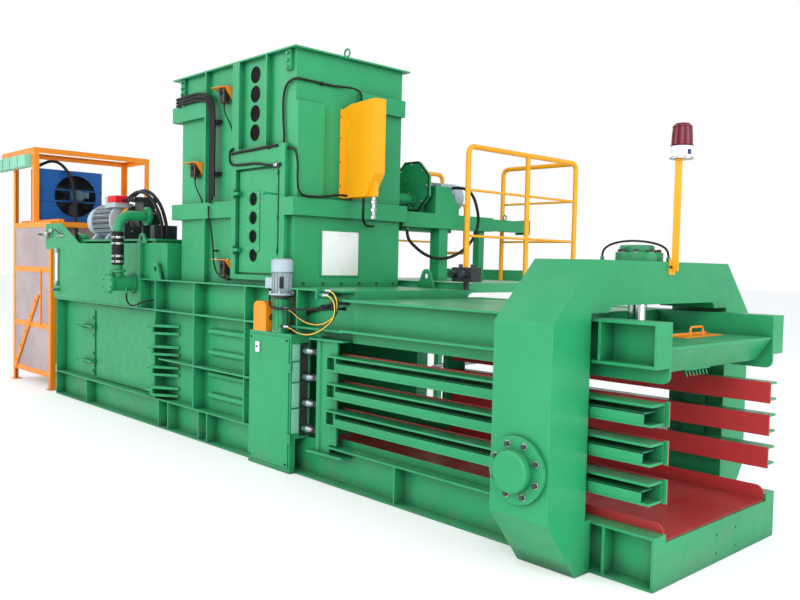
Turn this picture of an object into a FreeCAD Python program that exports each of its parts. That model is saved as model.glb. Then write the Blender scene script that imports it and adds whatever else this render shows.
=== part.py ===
import FreeCAD, Part

import math
import os

V = FreeCAD.Vector

# A horizontal channel baler for paper and card, in millimetres.
# +X runs along the machine towards the bale outlet, -Y is the operator's side, +Z is up.
# The origin is on the ground below the centre of the tension frame.

# ---------------------------------------------------------------- driving dimensions
# stations along the machine
FRAME_DEPTH = 350.0        # tension frame, along X
OUTLET_REACH = 345.0       # front of the tension frame to the lip of the outlet
RAIL_BAY = 1600.0          # rear of the tension frame to the end of the welded body
KNOTTER_BAY = 503.0        # open bay where the wires are passed and twisted
SHEAR_BAY = 237.0          # knotter bay to the front wall of the hopper
HOPPER_LENGTH = 1713.0
STEP_BAY = 477.0           # hopper's rear wall to the step in the roof
REAR_LENGTH = 1985.0       # low rear part that holds the main cylinder

# section of the body
CHAMBER_HALF = 534.0       # half the inner width of the press chamber
WALL = 16.0                # side wall plate
RIB_DEPTH = 105.0          # how far ribs and flanges stand out of the wall
FLANGE = 12.0              # flange plates
RIB = 14.0                 # rib plates
BASE_HEIGHT = 255.0
FLOOR = 215.0              # top of the base inside the chamber
LINER = 6.0                # red wear plates
LIP_HEIGHT = 84.0          # red side lips above the floor
ROOF = 1037.0              # top of the press chamber's roof plate
ROOF_PLATE = 16.0
BODY_TOP = 1310.0
MID_RIB = 616.0

# hopper
HOPPER_TOP = 3050.0
HOPPER_HALF = 525.0
HOPPER_WALL = 12.0
HOPPER_FLANGE = 45.0
BAND_DEPTH = 45.0
BAND_HEIGHT = 131.0
LOWER_BAND = 1835.0
UPPER_BAND_DROP = 375.0    # hopper's top down to its upper band
MID_BAY = 428.0            # between the upright beside the door frame and the next one
REAR_INSET = 56.0          # hopper flange and bands stand back behind its rear wall
DOOR_WIDTH = 565.0
DOOR_HEIGHT = 788.0
DOOR_BOTTOM = 1402.0
DOOR_RIGHT_INSET = 142.0   # hopper's front corner to the door's free edge
DOOR_BORDER = 64.0         # door frame's bar, as seen from the front
DOOR_REVEAL = 16.0         # gap between the door and its frame
DOOR_HEADER = 90.0         # bar over the door frame
DOOR_SHEET = 17.0
WINDOW_PITCH = 0.2138      # share of the wall over the door frame
WINDOW_SHARE = 0.4136      # radius as a share of the pitch
DOOR_WINDOW_RADIUS = 48.0

# tension frame
FRAME_HALF = 1010.0
FRAME_HEIGHT = 1540.0
LEG_INNER = 705.0
FRAME_CHAMFER = 305.0
FOOT_CHAMFER_Y = 232.0
FOOT_CHAMFER_Z = 300.0
WINDOW_TOP = 1313.0
CLAMP_HEIGHT = 532.0       # height of the side cylinders
SIDE_FLANGE_RADIUS = 164.0
SIDE_CAP_RADIUS = 102.0
SIDE_ROD_RADIUS = 45.0
TOP_ROD_RADIUS = 52.0
BARREL_WALL = 22.0
BOLT_RADIUS = 11.0

# side gates and top platen
RAIL_HEIGHT = 104.0
RAIL_PITCH = 183.0
RAIL_CENTRE = 640.0        # height of the middle rail
RAIL_INNER = 556.0
RAIL_OUTER = 683.0
RAIL_PLATE = 12.0
RAIL_LINER_HEIGHT = 118.0
RAIL_SETBACK = 133.0       # body's end back to the rails' rear ends
GATE_PIN_SETBACK = 265.0   # body's end back to the gates' pins
GATE_PIN_Y = 626.0
GATE_PIN_RADIUS = 20.0
GATE_POST_BOTTOM = 205.0
GATE_POST_TOP = 965.0
PLATEN_BOTTOM = 1001.0
DECK_FRONT = 1135.0
DECK_REAR = 1250.0
BEAM_BOTTOM = 1040.0
BEAM_TOP = 1255.0
BEAM_OUTER = 690.0
PLATEN_PIN_SETBACK = 75.0  # body's end to the platen's pin
PLATEN_PIN_HEIGHT = 1150.0
PLATEN_PIN_RADIUS = 30.0
GUIDE_BOTTOM = 962.0

# main ram
RAM_LENGTH = 1350.0
RAM_GAP = 6.0
RAM_FACE = 60.0
MAIN_BARREL_RADIUS = 150.0
MAIN_ROD_RADIUS = 90.0

# fits
RUN = 0.05                 # radial clearance of every pin in its bore
SEAT = 0.5                 # gap between parts that slide or swing past each other

# tie station
CABINET_LENGTH = 523.0
CABINET_TOP = 985.0
CABINET_Y = 703.0
SHEET = 3.0
TWIST_HEIGHTS = (315.0, 499.0, 683.0, 867.0)
GEAR_CASE_LOW = 270.0      # underside of the twisters' gear case
GEAR_CASE_HIGH = 915.0
NEEDLE_SETBACK = 90.0      # knotter bay's rear edge to the needles' plane
NEEDLE_RADIUS = 16.0
NEEDLE_STROKE = 1150.0

# power unit
TANK_BOTTOM = 1095.0
TANK_TOP = 1633.0
TANK_OVERHANG = 100.0
TANK_HALF = 650.0
LUG_BERTH = 45.0           # outer edge of the body in to the tank's step, beside the lifting lug
MOTOR_SETBACK = 965.0      # suction strainer back to the middle of the motor
MOTOR_Y = -400.0
MOTOR_Z = 1862.0
MOTOR_RADIUS = 180.0
MOTOR_LENGTH = 660.0
PUMP_BASE = 40.0
STRAINER_SETBACK = 145.0   # step in the roof back to the strainer
STRAINER_Y = -800.0
STRAINER_Z = 1262.0
SUCTION_RADIUS = 45.0

# cooler cage
CAGE_GAP = 210.0           # rear of the body to the cage
CAGE_LENGTH = 1195.0
CAGE_UPPER_LENGTH = 675.0
CAGE_Y0 = -640.0
CAGE_Y1 = 770.0
CAGE_MID = 1880.0
CAGE_TOP = 2740.0
TERMINAL_REACH = 405.0     # how far the row of terminal boxes runs past the cage
ANGLE = 60.0
ANGLE_T = 6.0
COOLER_WIDTH = 745.0
COOLER_HEIGHT = 600.0
COOLER_DEPTH = 260.0
FAN_RADIUS = 245.0

# far side platform and feeder drive
PLATFORM_Z = 1358.0
PLATFORM_LENGTH = 1700.0
PLATFORM_LEAD = 615.0      # how far the gangway runs past the hopper's front wall
PLATFORM_Y0 = 690.0
PLATFORM_Y1 = 2150.0
HANDRAIL_HEIGHT = 1085.0
TUBE_RADIUS = 21.0
BAR_RADIUS = 10.0
BEAM_Z0 = 1806.0
BEAM_Z1 = 1930.0
BEAM_WIDTH = 150.0
FEEDER_SETBACK = 205.0     # hopper's front wall back to the feeder's shaft
FEEDER_Z = 2050.0
FEEDER_SHAFT_RADIUS = 30.0

# warning lamp
LAMP_RADIUS = 57.0
LAMP_POLE_Y = 82.0
LAMP_POLE_HEIGHT = 553.0   # tension frame's top to the lamp's plate

# ---------------------------------------------------------------- stations
x_front = FRAME_DEPTH / 2
x_lip = x_front + OUTLET_REACH
x_body_end = -x_front - RAIL_BAY
x_knot = x_body_end - KNOTTER_BAY
x_hopper_front = x_knot - SHEAR_BAY
x_hopper_rear = x_hopper_front - HOPPER_LENGTH
x_shell_rear = x_hopper_rear + REAR_INSET
x_step = x_hopper_rear - STEP_BAY
x_rear = x_step - REAR_LENGTH
wall_out = CHAMBER_HALF + WALL
rib_out = wall_out + RIB_DEPTH
x_rails = x_body_end - RAIL_SETBACK
x_gate_pin = x_body_end - GATE_PIN_SETBACK
x_feeder = x_hopper_front - FEEDER_SETBACK
x_gangway1 = x_hopper_front + PLATFORM_LEAD
x_gangway0 = x_gangway1 - PLATFORM_LENGTH
x_strainer = x_step - STRAINER_SETBACK
x_motor = x_strainer - MOTOR_SETBACK
x_cage1 = x_rear - CAGE_GAP
x_cage0 = x_cage1 - CAGE_LENGTH
x_cage_upper = x_cage0 + CAGE_UPPER_LENGTH
x_post = x_hopper_front - DOOR_RIGHT_INSET - DOOR_WIDTH - DOOR_BORDER - DOOR_REVEAL
x_mid_post = x_post - MID_BAY
z_frame_top = DOOR_BOTTOM + DOOR_HEIGHT + DOOR_BORDER + DOOR_REVEAL + DOOR_HEADER
z_upper_band = HOPPER_TOP - UPPER_BAND_DROP
z_lamp = FRAME_HEIGHT + LAMP_POLE_HEIGHT

# sockets that hoses start or end at
RETURN_SOCKET = (-205.0, 1510.0)                        # on the oil tank's end, (y, z)
LAMP_SOCKETS = ((160.0, 30.0), (-152.0, -130.0))        # on the tension frame, (x, y)
FEEDER_GLAND = (x_hopper_front - 22.0, 1150.0, 2160.0)              # on the feeder motor's terminal box
HOSE_STARTS = (1160.0, 1034.0)                          # heights on the bevel gearbox
HOSE_ENDS = ((-712.0, BODY_TOP - 3), (-734.0, BODY_TOP - 31))        # on the hose bracket, (y, z)


# ---------------------------------------------------------------- shape helpers
def box(x0, x1, y0, y1, z0, z1):
    """A block between two corners."""
    return Part.makeBox(x1 - x0, y1 - y0, z1 - z0, V(x0, y0, z0))


def plane_point(axis, a, b, at):
    """A point of the plane square to an axis: x takes (y, z), y takes (x, z), z takes (x, y)."""
    return {"x": V(at, a, b), "y": V(a, at, b), "z": V(a, b, at)}[axis]


def prism(points, axis, start, end):
    """A straight-sided outline, pushed along an axis from start to end."""
    corners = [plane_point(axis, a, b, start) for a, b in points]
    face = Part.Face(Part.makePolygon(corners + [corners[0]]))
    along = {"x": V(1, 0, 0), "y": V(0, 1, 0), "z": V(0, 0, 1)}[axis]
    return face.extrude(along * (end - start))


def soft_prism(points, radius, axis, start, end):
    """As prism, with every corner of the outline rounded by one radius."""
    corners = [plane_point(axis, a, b, start) for a, b in points]
    edges = []
    last = None
    first = None
    for i, corner in enumerate(corners):
        back = (corners[i - 1] - corner).normalize()
        ahead = (corners[(i + 1) % len(corners)] - corner).normalize()
        half = back.getAngle(ahead) / 2
        reach = radius / math.tan(half)
        middle = corner + (back + ahead).normalize() * (radius / math.sin(half) - radius)
        start_point = corner + back * reach
        end_point = corner + ahead * reach
        if last:
            edges.append(Part.makeLine(last, start_point))
        else:
            first = start_point
        edges.append(Part.Arc(start_point, middle, end_point).toShape())
        last = end_point
    edges.append(Part.makeLine(last, first))
    along = {"x": V(1, 0, 0), "y": V(0, 1, 0), "z": V(0, 0, 1)}[axis]
    return Part.Face(Part.Wire(edges)).extrude(along * (end - start))


AXES = {"x": V(1, 0, 0), "y": V(0, 1, 0), "z": V(0, 0, 1)}


def rod(x, y, z, axis, length, radius):
    """A round bar that starts at a point and runs along an axis; a minus length runs backwards."""
    start = V(x, y, z)
    if length < 0:
        start = start + AXES[axis] * length
    return Part.makeCylinder(radius, abs(length), start, AXES[axis])


def tube(x, y, z, axis, length, outer, inner):
    """A turned ring: a rod with a bore along its axis."""
    return rod(x, y, z, axis, length, outer).cut(rod(x, y, z, axis, length, inner))


def turned(profile, x, y, z, axis):
    """A turned piece: profile is (distance along the axis, radius) from the point given."""
    points = [V(r, 0, a) for a, r in profile]
    points = [V(0, 0, profile[0][0])] + points + [V(0, 0, profile[-1][0])]
    body = Part.Face(Part.makePolygon(points + [points[0]])).revolve(V(0, 0, 0), V(0, 0, 1), 360)
    turn = FreeCAD.Rotation(V(0, 0, 1), AXES[axis])
    body.Placement = FreeCAD.Placement(V(x, y, z), turn)
    return body


def fuse(*shapes):
    """Several shapes as one solid."""
    whole = shapes[0].multiFuse(list(shapes[1:]))
    merged = whole.removeSplitter()
    return merged if merged.isValid() else whole


def cut(shape, *tools):
    """A shape with the tools taken out of it."""
    return shape.cut(list(tools))


def far_side(shape):
    """The same piece on the other side of the machine."""
    return shape.mirror(V(0, 0, 0), V(0, 1, 0))


def group(*shapes):
    """Separate solids that share one node."""
    return Part.makeCompound(list(shapes))


def knuckles(x, y, z, pin, leaf):
    """An upright hinge: the fixed pin with its two end knuckles, and the sleeve that turns on it."""
    outer = pin * 1.8
    fixed = fuse(
        rod(x, y, z - leaf, "z", leaf * 2, pin),
        rod(x, y, z - leaf, "z", leaf * 0.5, outer),
        rod(x, y, z + leaf * 0.5, "z", leaf * 0.5, outer),
    )
    height = leaf - 2 * SEAT
    moving = tube(x, y, z - height / 2, "z", height, outer, pin + RUN)
    return fixed, moving


def bent_tube(points, radius, bend):
    """A tube along straight runs with one bend radius at every corner."""
    points = [V(*p) for p in points]
    edges = []
    here = points[0]
    for i in range(1, len(points) - 1):
        back = (points[i - 1] - points[i]).normalize()
        ahead = (points[i + 1] - points[i]).normalize()
        half = back.getAngle(ahead) / 2
        reach = bend / math.tan(half)
        middle = points[i] + (back + ahead).normalize() * (bend / math.sin(half) - bend)
        edges.append(Part.makeLine(here, points[i] + back * reach))
        edges.append(Part.Arc(points[i] + back * reach, middle, points[i] + ahead * reach).toShape())
        here = points[i] + ahead * reach
    edges.append(Part.makeLine(here, points[-1]))
    section = Part.Wire(Part.makeCircle(radius, points[0], points[1] - points[0]))
    return Part.Wire(edges).makePipeShell([section], True, False)


def hose(name, points, diameter):
    """A hose along straight runs joined by the largest arcs that the runs allow."""
    points = [V(*p) for p in points]
    edges = []
    radii = []
    length = 0.0
    here = points[0]
    for i in range(1, len(points) - 1):
        back = points[i - 1] - points[i]
        ahead = points[i + 1] - points[i]
        shorter = min(back.Length, ahead.Length)
        back.normalize()
        ahead.normalize()
        turn = math.pi - back.getAngle(ahead)
        reach = 0.45 * shorter
        radius = reach / math.tan(turn / 2)
        radii.append(radius)
        bisector = (back + ahead).normalize()
        middle = points[i] + bisector * (radius / math.cos(turn / 2) - radius)
        begin = points[i] + back * reach
        finish = points[i] + ahead * reach
        edges.append(Part.makeLine(here, begin))
        edges.append(Part.Arc(begin, middle, finish).toShape())
        length += (begin - here).Length + radius * turn
        here = finish
    edges.append(Part.makeLine(here, points[-1]))
    length += (points[-1] - here).Length
    path = Part.Wire(edges)
    section = Part.Wire(Part.makeCircle(diameter / 2, points[0], points[1] - points[0]))
    solid = path.makePipeShell([section], True, False)
    solid = Part.Solid(solid) if solid.ShapeType == "Shell" else solid
    share = solid.Volume / (math.pi * diameter ** 2 / 4 * length)
    print(f"{name}: length {length:.0f}, least radius {min(radii):.0f} "
          f"({min(radii) / diameter:.1f} diameters), volume over section times length {share:.4f}")
    return solid


# ---------------------------------------------------------------- welded body
def base_frame():
    """The base: a trough between two outward channels, with a closing plate at the outlet."""
    web = wall_out + FLANGE
    half = [(wall_out, FLOOR), (wall_out, BASE_HEIGHT), (rib_out, BASE_HEIGHT),
            (rib_out, BASE_HEIGHT - FLANGE), (web, BASE_HEIGHT - FLANGE), (web, FLANGE),
            (rib_out, FLANGE), (rib_out, 0.0)]
    section = half + [(-y, z) for y, z in reversed(half)]
    beam = prism(section, "x", x_rear, x_lip - RIB)
    end = [(wall_out, FLOOR), (wall_out, BASE_HEIGHT), (rib_out, BASE_HEIGHT), (rib_out, 0.0)]
    plate = prism(end + [(-y, z) for y, z in reversed(end)], "x", x_lip - RIB, x_lip)
    pieces = [beam, plate]
    stations = [x_rear, x_rear + 797, x_hopper_rear - 106, x_hopper_rear + 69, x_hopper_rear + 590,
                x_hopper_rear + 725, x_hopper_front - 364, x_body_end + 520, x_front + 65]
    for x in stations:
        rib = box(x, x + RIB, web, rib_out, FLANGE, BASE_HEIGHT - FLANGE)
        pieces += [rib, far_side(rib)]
    base = fuse(*pieces)
    # the top flange is left out where the gate posts stand
    gap = box(x_knot, x_rails, web, rib_out + 1, BASE_HEIGHT - FLANGE, BASE_HEIGHT + 1)
    base = cut(base, gap, far_side(gap))
    bracket = soft_prism([(x_knot + 156, web), (x_body_end + 20, web), (x_body_end + 20, rib_out + 8),
                          (x_knot + 156, GATE_PIN_Y + 64)], 18, "z",
                         GATE_POST_BOTTOM - SEAT - RIB, GATE_POST_BOTTOM - SEAT)
    bracket = bracket.cut(rod(x_gate_pin, GATE_PIN_Y, 0, "z", BASE_HEIGHT, GATE_PIN_RADIUS + RUN))
    return fuse(base, bracket, far_side(bracket))


def side_wall():
    """The far side wall with its ribs; the near one is its mirror image plus its own fittings."""
    low = ROOF - ROOF_PLATE
    high = BODY_TOP - FLANGE
    outline = [(x_rear, FLOOR), (x_knot, FLOOR), (x_knot, GATE_POST_TOP), (x_body_end, GATE_POST_TOP),
               (x_body_end, high), (x_step, high), (x_step, low), (x_rear, low)]
    plate = prism(outline, "y", CHAMBER_HALF, wall_out)
    pieces = [plate]
    # ribs run lengthwise at mid height and at the roof
    pieces.append(box(x_hopper_rear - 107, x_knot, wall_out, rib_out, MID_RIB - RIB, MID_RIB))
    pieces.append(box(x_rear, x_body_end, wall_out, rib_out, ROOF - RIB / 2, ROOF + RIB / 2))
    # upright ribs
    for x in (x_hopper_rear - 187, x_hopper_rear + 498, x_hopper_front - 445):
        pieces.append(box(x, x + RIB, wall_out, rib_out, BASE_HEIGHT, high))
    pieces.append(box(x_step, x_step + RIB, wall_out, rib_out, ROOF, high))
    pieces.append(box(x_rear, x_rear + RIB, wall_out, rib_out, BASE_HEIGHT, ROOF))
    pieces.append(box(x_knot - RIB, x_knot, wall_out, rib_out, BASE_HEIGHT, high))
    # upper bracket for the gate post
    bracket = soft_prism([(x_knot + 170, CHAMBER_HALF), (x_body_end, CHAMBER_HALF),
                          (x_body_end, rib_out), (x_knot + 170, GATE_PIN_Y + 60)], 14, "z",
                         GATE_POST_TOP + SEAT, GATE_POST_TOP + SEAT + RIB)
    pieces.append(bracket)
    wall = fuse(*pieces)
    bore = rod(x_gate_pin, GATE_PIN_Y, GATE_POST_TOP, "z", 60, GATE_PIN_RADIUS + RUN)
    return cut(wall, bore)


ACCESS_X0 = x_rear + 850.0
ACCESS_X1 = x_step + 290.0
ACCESS_Z0 = 262.0
ACCESS_Z1 = 1012.0
ACCESS_PIN_X = ACCESS_X1 + 22.0
ACCESS_PIN_Y = -(rib_out + 24.0)
ACCESS_HINGES = (324.0, 505.0, 686.0, 870.0)


def near_wall():
    """Near wall of the body: plate, ribs, flanges, anchor plates and the hose bracket."""
    wall = far_side(side_wall())
    cabinet = box(x_knot - CABINET_LENGTH, x_knot + 1, -rib_out - 1, -wall_out, BASE_HEIGHT - 1, CABINET_TOP)
    column = box(x_knot - CABINET_LENGTH, KNOT_MOTOR_X + 120, -rib_out - 1, -wall_out, CABINET_TOP - 1,
                 BODY_TOP)
    wall = cut(wall, cabinet, column)
    opening = box(ACCESS_X0 + 45, ACCESS_X1 - 45, -wall_out - 1, -CHAMBER_HALF + 1,
                  ACCESS_Z0 + 40, ACCESS_Z1 - 40)
    wall = wall.cut(opening)
    pieces = [wall]
    # bolted cover strip beside the access door
    strip_x = ACCESS_X0 - 105
    pieces.append(box(strip_x, strip_x + 45, -wall_out - RIB, -wall_out, 280, 944))
    for z in (323, 507, 691, 874):
        pieces.append(rod(strip_x + 22, -wall_out - RIB, z, "y", -14, 15))
    # two short stiffeners on the rear panel
    for z in (432, 790):
        pieces.append(prism([(-wall_out, z - 45), (-wall_out, z), (-rib_out, z)], "x",
                            x_rear + 515, x_rear + 529))
        pieces.append(box(x_rear + 515, ACCESS_X0 - 10, -rib_out + 30, -wall_out, z - RIB, z))
    # four guide tubes for the wires
    for z in (378, 556, 734, 908):
        pieces.append(rod(x_hopper_rear + 640, -wall_out - 20, z, "x", 613, 24))
    # bracket of the knotter's hoses, with two unions
    end = KNOT_MOTOR_X + 545
    low, under = BODY_TOP - 48, BODY_TOP - FLANGE - 1
    edge = HOSE_ENDS[1][0] - 23
    pieces.append(box(end - 10, end, edge, -rib_out + 8, low - 12, under))
    pieces.append(box(end - 10, end, edge, -rib_out - 1, under, BODY_TOP + 16))
    pieces.append(box(end - 60, end, -rib_out + 4, -wall_out, low, low + 12))
    pieces.append(box(end - 22, end - 10, -rib_out + 2, -wall_out, low, under))
    for y, z in HOSE_ENDS:
        pieces.append(rod(end, y, z, "x", 45, 9))
    # hinge posts of the access door, gusseted back to the wall
    for z in ACCESS_HINGES:
        fixed, _ = knuckles(ACCESS_PIN_X, ACCESS_PIN_Y, z, 12, 44)
        pieces.append(fixed)
        for side in (-44, 22):
            pieces.append(soft_prism([(ACCESS_PIN_X + 280, -wall_out), (ACCESS_PIN_X - 18, -wall_out),
                                      (ACCESS_PIN_X - 18, ACCESS_PIN_Y - 12),
                                      (ACCESS_PIN_X + 60, ACCESS_PIN_Y - 12)], 8, "z",
                                     z + side, z + side + 22).cut(
                rod(ACCESS_PIN_X, ACCESS_PIN_Y, z + side, "z", 22, 12)))
    return fuse(*pieces)


def needle_guides():
    """Floor-standing slideway of the needle carriage beside the far wall, with its end bulkhead."""
    x = x_knot + NEEDLE_SETBACK
    reach = rib_out + NEEDLE_STROKE + 150
    pieces = [
        box(x - 122, x + 112, rib_out, reach + 20, 0, FLANGE),
        box(x - 122, x + 112, rib_out + 45, rib_out + 57, FLANGE, 236),
        box(x - 122, x + 112, reach, reach + 20, FLANGE, 1040),
        rod(x, reach + 20, 590, "y", 40, 60),
    ]
    for side in (-96, 86):
        pieces.append(box(x + side - 14, x + side + 14, rib_out + 57, reach, 180, 236))
    return fuse(*pieces)


def far_wall():
    """Far wall of the body, with the needle carriage's guides."""
    return group(side_wall(), needle_guides())


def press_roof():
    """Roof plates, the two closed boxes before and behind the throat, and the top flange."""
    low = ROOF - ROOF_PLATE
    high = BODY_TOP - FLANGE
    rear = box(x_rear, x_step, -wall_out, wall_out, low, ROOF)
    back_box = box(x_step, x_shell_rear, -CHAMBER_HALF, CHAMBER_HALF, low, high)
    front_box = box(x_hopper_front, x_body_end, -CHAMBER_HALF, CHAMBER_HALF, low, high)
    inner = HOPPER_HALF - HOPPER_WALL
    cover = box(x_step, x_body_end, -rib_out, rib_out, high, BODY_TOP)
    motor_notch = box(KNOT_MOTOR_X - 160, KNOT_MOTOR_X + 102, -rib_out - 1, -wall_out - 1, high - 1,
                      BODY_TOP + 1)
    throat = box(x_shell_rear + HOPPER_WALL, x_hopper_front - HOPPER_WALL, -inner, inner,
                 high - 1, BODY_TOP + 1)
    ears = []
    pin_x = x_body_end + PLATEN_PIN_SETBACK
    for side in (-1, 1):
        ear = soft_prism([(x_body_end - 20, PLATEN_PIN_HEIGHT - 70), (pin_x + 55, PLATEN_PIN_HEIGHT - 55),
                          (pin_x + 55, PLATEN_PIN_HEIGHT + 55), (x_body_end - 20, PLATEN_PIN_HEIGHT + 70)],
                         30, "y", side * 500 - 20, side * 500 + 20)
        ears.append(ear)
    roof = fuse(rear, back_box, front_box, cut(cover, throat, motor_notch), *ears)
    bore = rod(pin_x, -600, PLATEN_PIN_HEIGHT, "y", 1200, PLATEN_PIN_RADIUS + RUN)
    inner_x0 = x_body_end
    keep = box(inner_x0, inner_x0 + 400, -600, 600, 900, 1290)
    return roof.cut(bore.common(keep))


def exit_floor():
    """Red wear plate of the outlet, folded up at both sides with rounded front corners."""
    sheet = box(x_knot, x_lip - RIB, -wall_out, wall_out, FLOOR, FLOOR + LINER)
    top = FLOOR + LIP_HEIGHT
    lip = prism([(x_rails, FLOOR), (x_lip - RIB, FLOOR), (x_lip - RIB, top), (x_rails, top)],
                "y", wall_out - LINER, wall_out)
    edges = [e for e in lip.Edges
             if abs(e.CenterOfMass.z - top) < 1 and abs(e.CenterOfMass.x - x_lip + RIB) < 1]
    lip = lip.makeFillet(45, edges)
    return fuse(sheet, lip, far_side(lip))


# ---------------------------------------------------------------- main ram
def main_cylinder():
    """The main cylinder's barrel with its rear flange, fixed to the machine's rear end."""
    z = (FLOOR + ROOF) / 2
    length = x_hopper_rear - x_rear - RAM_FACE - 260
    bulkhead = box(x_rear, x_rear + 30, -CHAMBER_HALF, CHAMBER_HALF, FLOOR, ROOF - ROOF_PLATE)
    body = fuse(bulkhead, turned([(30, MAIN_BARREL_RADIUS + 60), (70, MAIN_BARREL_RADIUS + 60),
                                  (70, MAIN_BARREL_RADIUS), (length - 90, MAIN_BARREL_RADIUS),
                                  (length - 90, MAIN_BARREL_RADIUS + 25),
                                  (length, MAIN_BARREL_RADIUS + 25)], x_rear, 0, z, "x"))
    bore = rod(x_rear + 80, 0, z, "x", length - 80 + 1, MAIN_ROD_RADIUS + RUN)
    return body.cut(bore)


def main_ram():
    """The ram: a box open at the rear, with wear edges and its thick face plate."""
    x1 = x_hopper_rear - 12
    x0 = x1 - RAM_LENGTH
    half = CHAMBER_HALF - RAM_GAP
    z0 = FLOOR + RAM_GAP
    z1 = ROOF - ROOF_PLATE - RAM_GAP
    shell = box(x0, x1, -half, half, z0, z1)
    hollow = box(x0 - 1, x1 - RAM_FACE, -half + 40, half - 40, z0 + 40, z1 - 40)
    ram = shell.cut(hollow)
    slots = []
    for z in TWIST_HEIGHTS:
        slots.append(box(x1 - 22, x1 + 1, -half - 1, half + 1, z - 22, z + 22))
    return cut(ram, *slots)


def ram_rod():
    """Piston rod between the main cylinder and the ram."""
    z = (FLOOR + ROOF) / 2
    x1 = x_hopper_rear - 12 - RAM_FACE
    length = RAM_LENGTH + REAR_LENGTH - 1150
    return fuse(rod(x1, 0, z, "x", -length, MAIN_ROD_RADIUS), rod(x1, 0, z, "x", -30, MAIN_ROD_RADIUS + 50))


# ---------------------------------------------------------------- hopper
def door_x():
    """Left and right edge of the hopper's door."""
    right = x_hopper_front - DOOR_RIGHT_INSET
    return right - DOOR_WIDTH, right


def above_door(share):
    """A height between the door frame's top and the hopper's."""
    return z_frame_top + 1 + share * (HOPPER_TOP - z_frame_top - 1)


def hopper_shell():
    """Hopper walls, flange, ribs, bands and door frame, with the windows and the doorway cut out."""
    outer = box(x_shell_rear, x_hopper_front, -HOPPER_HALF, HOPPER_HALF, BODY_TOP, HOPPER_TOP)
    flange = box(x_hopper_rear - HOPPER_FLANGE, x_hopper_front + HOPPER_FLANGE,
                 -HOPPER_HALF - HOPPER_FLANGE, HOPPER_HALF + HOPPER_FLANGE,
                 HOPPER_TOP - FLANGE, HOPPER_TOP)
    out = HOPPER_HALF + BAND_DEPTH
    x0, x1 = door_x()
    border = DOOR_BORDER + DOOR_REVEAL
    frame_top = z_frame_top
    pieces = [outer, flange]
    # lower band: the near side stops at the door frame
    pieces.append(box(x_hopper_rear - BAND_DEPTH, x_hopper_front + BAND_DEPTH, -HOPPER_HALF, out,
                      LOWER_BAND, LOWER_BAND + BAND_HEIGHT))
    pieces.append(box(x_hopper_rear - BAND_DEPTH, x0 - border, -out, -HOPPER_HALF,
                      LOWER_BAND, LOWER_BAND + BAND_HEIGHT))
    pieces.append(box(x1 + border, x_hopper_front + BAND_DEPTH, -out, -HOPPER_HALF,
                      LOWER_BAND, LOWER_BAND + BAND_HEIGHT))
    # upper band: only the rear bays of the near side, the rear, the far side and half the front
    pieces.append(box(x_hopper_rear - BAND_DEPTH, x_mid_post, -out, out,
                      z_upper_band, z_upper_band + BAND_HEIGHT))
    pieces.append(box(x_hopper_rear, x_hopper_front - 120, HOPPER_HALF, out,
                      z_upper_band, z_upper_band + BAND_HEIGHT))
    pieces.append(box(x_hopper_front, x_hopper_front + BAND_DEPTH, 60, HOPPER_HALF,
                      z_upper_band, z_upper_band + BAND_HEIGHT))
    # door frame, and the bar over it
    pieces.append(box(x0 - border, x1 + border, -out, -HOPPER_HALF, DOOR_BOTTOM - border + 26, frame_top))
    # upright channel posts over the door frame and beside the windows
    for x, width in ((x_post, 96.0), (x1 - 190, 20.0), (x_mid_post, 20.0)):
        low = frame_top if x > x_mid_post else BODY_TOP
        pieces.append(box(x, x + width, -out, -HOPPER_HALF, low, HOPPER_TOP - FLANGE))
    # raised panel on the front
    pieces.append(box(x_hopper_front, x_hopper_front + 30, -HOPPER_HALF, -280,
                      LOWER_BAND + BAND_HEIGHT, z_upper_band - 8))
    shell = fuse(*pieces)
    inner = HOPPER_HALF - HOPPER_WALL
    shaft = box(x_shell_rear + HOPPER_WALL, x_hopper_front - HOPPER_WALL, -inner, inner,
                BODY_TOP - 1, HOPPER_TOP + 1)
    recess = box(x0 - DOOR_REVEAL, x1 + DOOR_REVEAL, -out - 1, -HOPPER_HALF,
                 DOOR_BOTTOM - DOOR_REVEAL, DOOR_BOTTOM + DOOR_HEIGHT + DOOR_REVEAL)
    doorway = box(x0 + 30, x1 - 30, -HOPPER_HALF - 1, -inner + 1, DOOR_BOTTOM + 30,
                  DOOR_BOTTOM + DOOR_HEIGHT - 30)
    tools = [shaft, recess, doorway]
    pitch = WINDOW_PITCH * (HOPPER_TOP - frame_top)
    for i in range(4):
        tools.append(rod(x1 - 386, -inner + 1, frame_top + (0.83 + i) * pitch, "y", -HOPPER_WALL - 2,
                         WINDOW_SHARE * pitch))
    tools.append(rod(x_feeder, inner - 1, FEEDER_Z, "y", BAND_DEPTH + HOPPER_WALL + 5,
                     FEEDER_SHAFT_RADIUS + RUN))
    shell = cut(shell, *tools)
    hinges = []
    for z in (DOOR_BOTTOM + 175, DOOR_BOTTOM + 615):
        fixed, _ = knuckles(x0 - 26, -out - 14.9, z, 8, 30)
        hinges.append(fixed)
        for side in (-30, 15):
            hinges.append(box(x0 - 60, x0 - 26, -out - 14, -out, z + side, z + side + 15).cut(
                rod(x0 - 26, -out - 14.9, z + side, "z", 15, 8)))
    return fuse(shell, *hinges)


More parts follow.
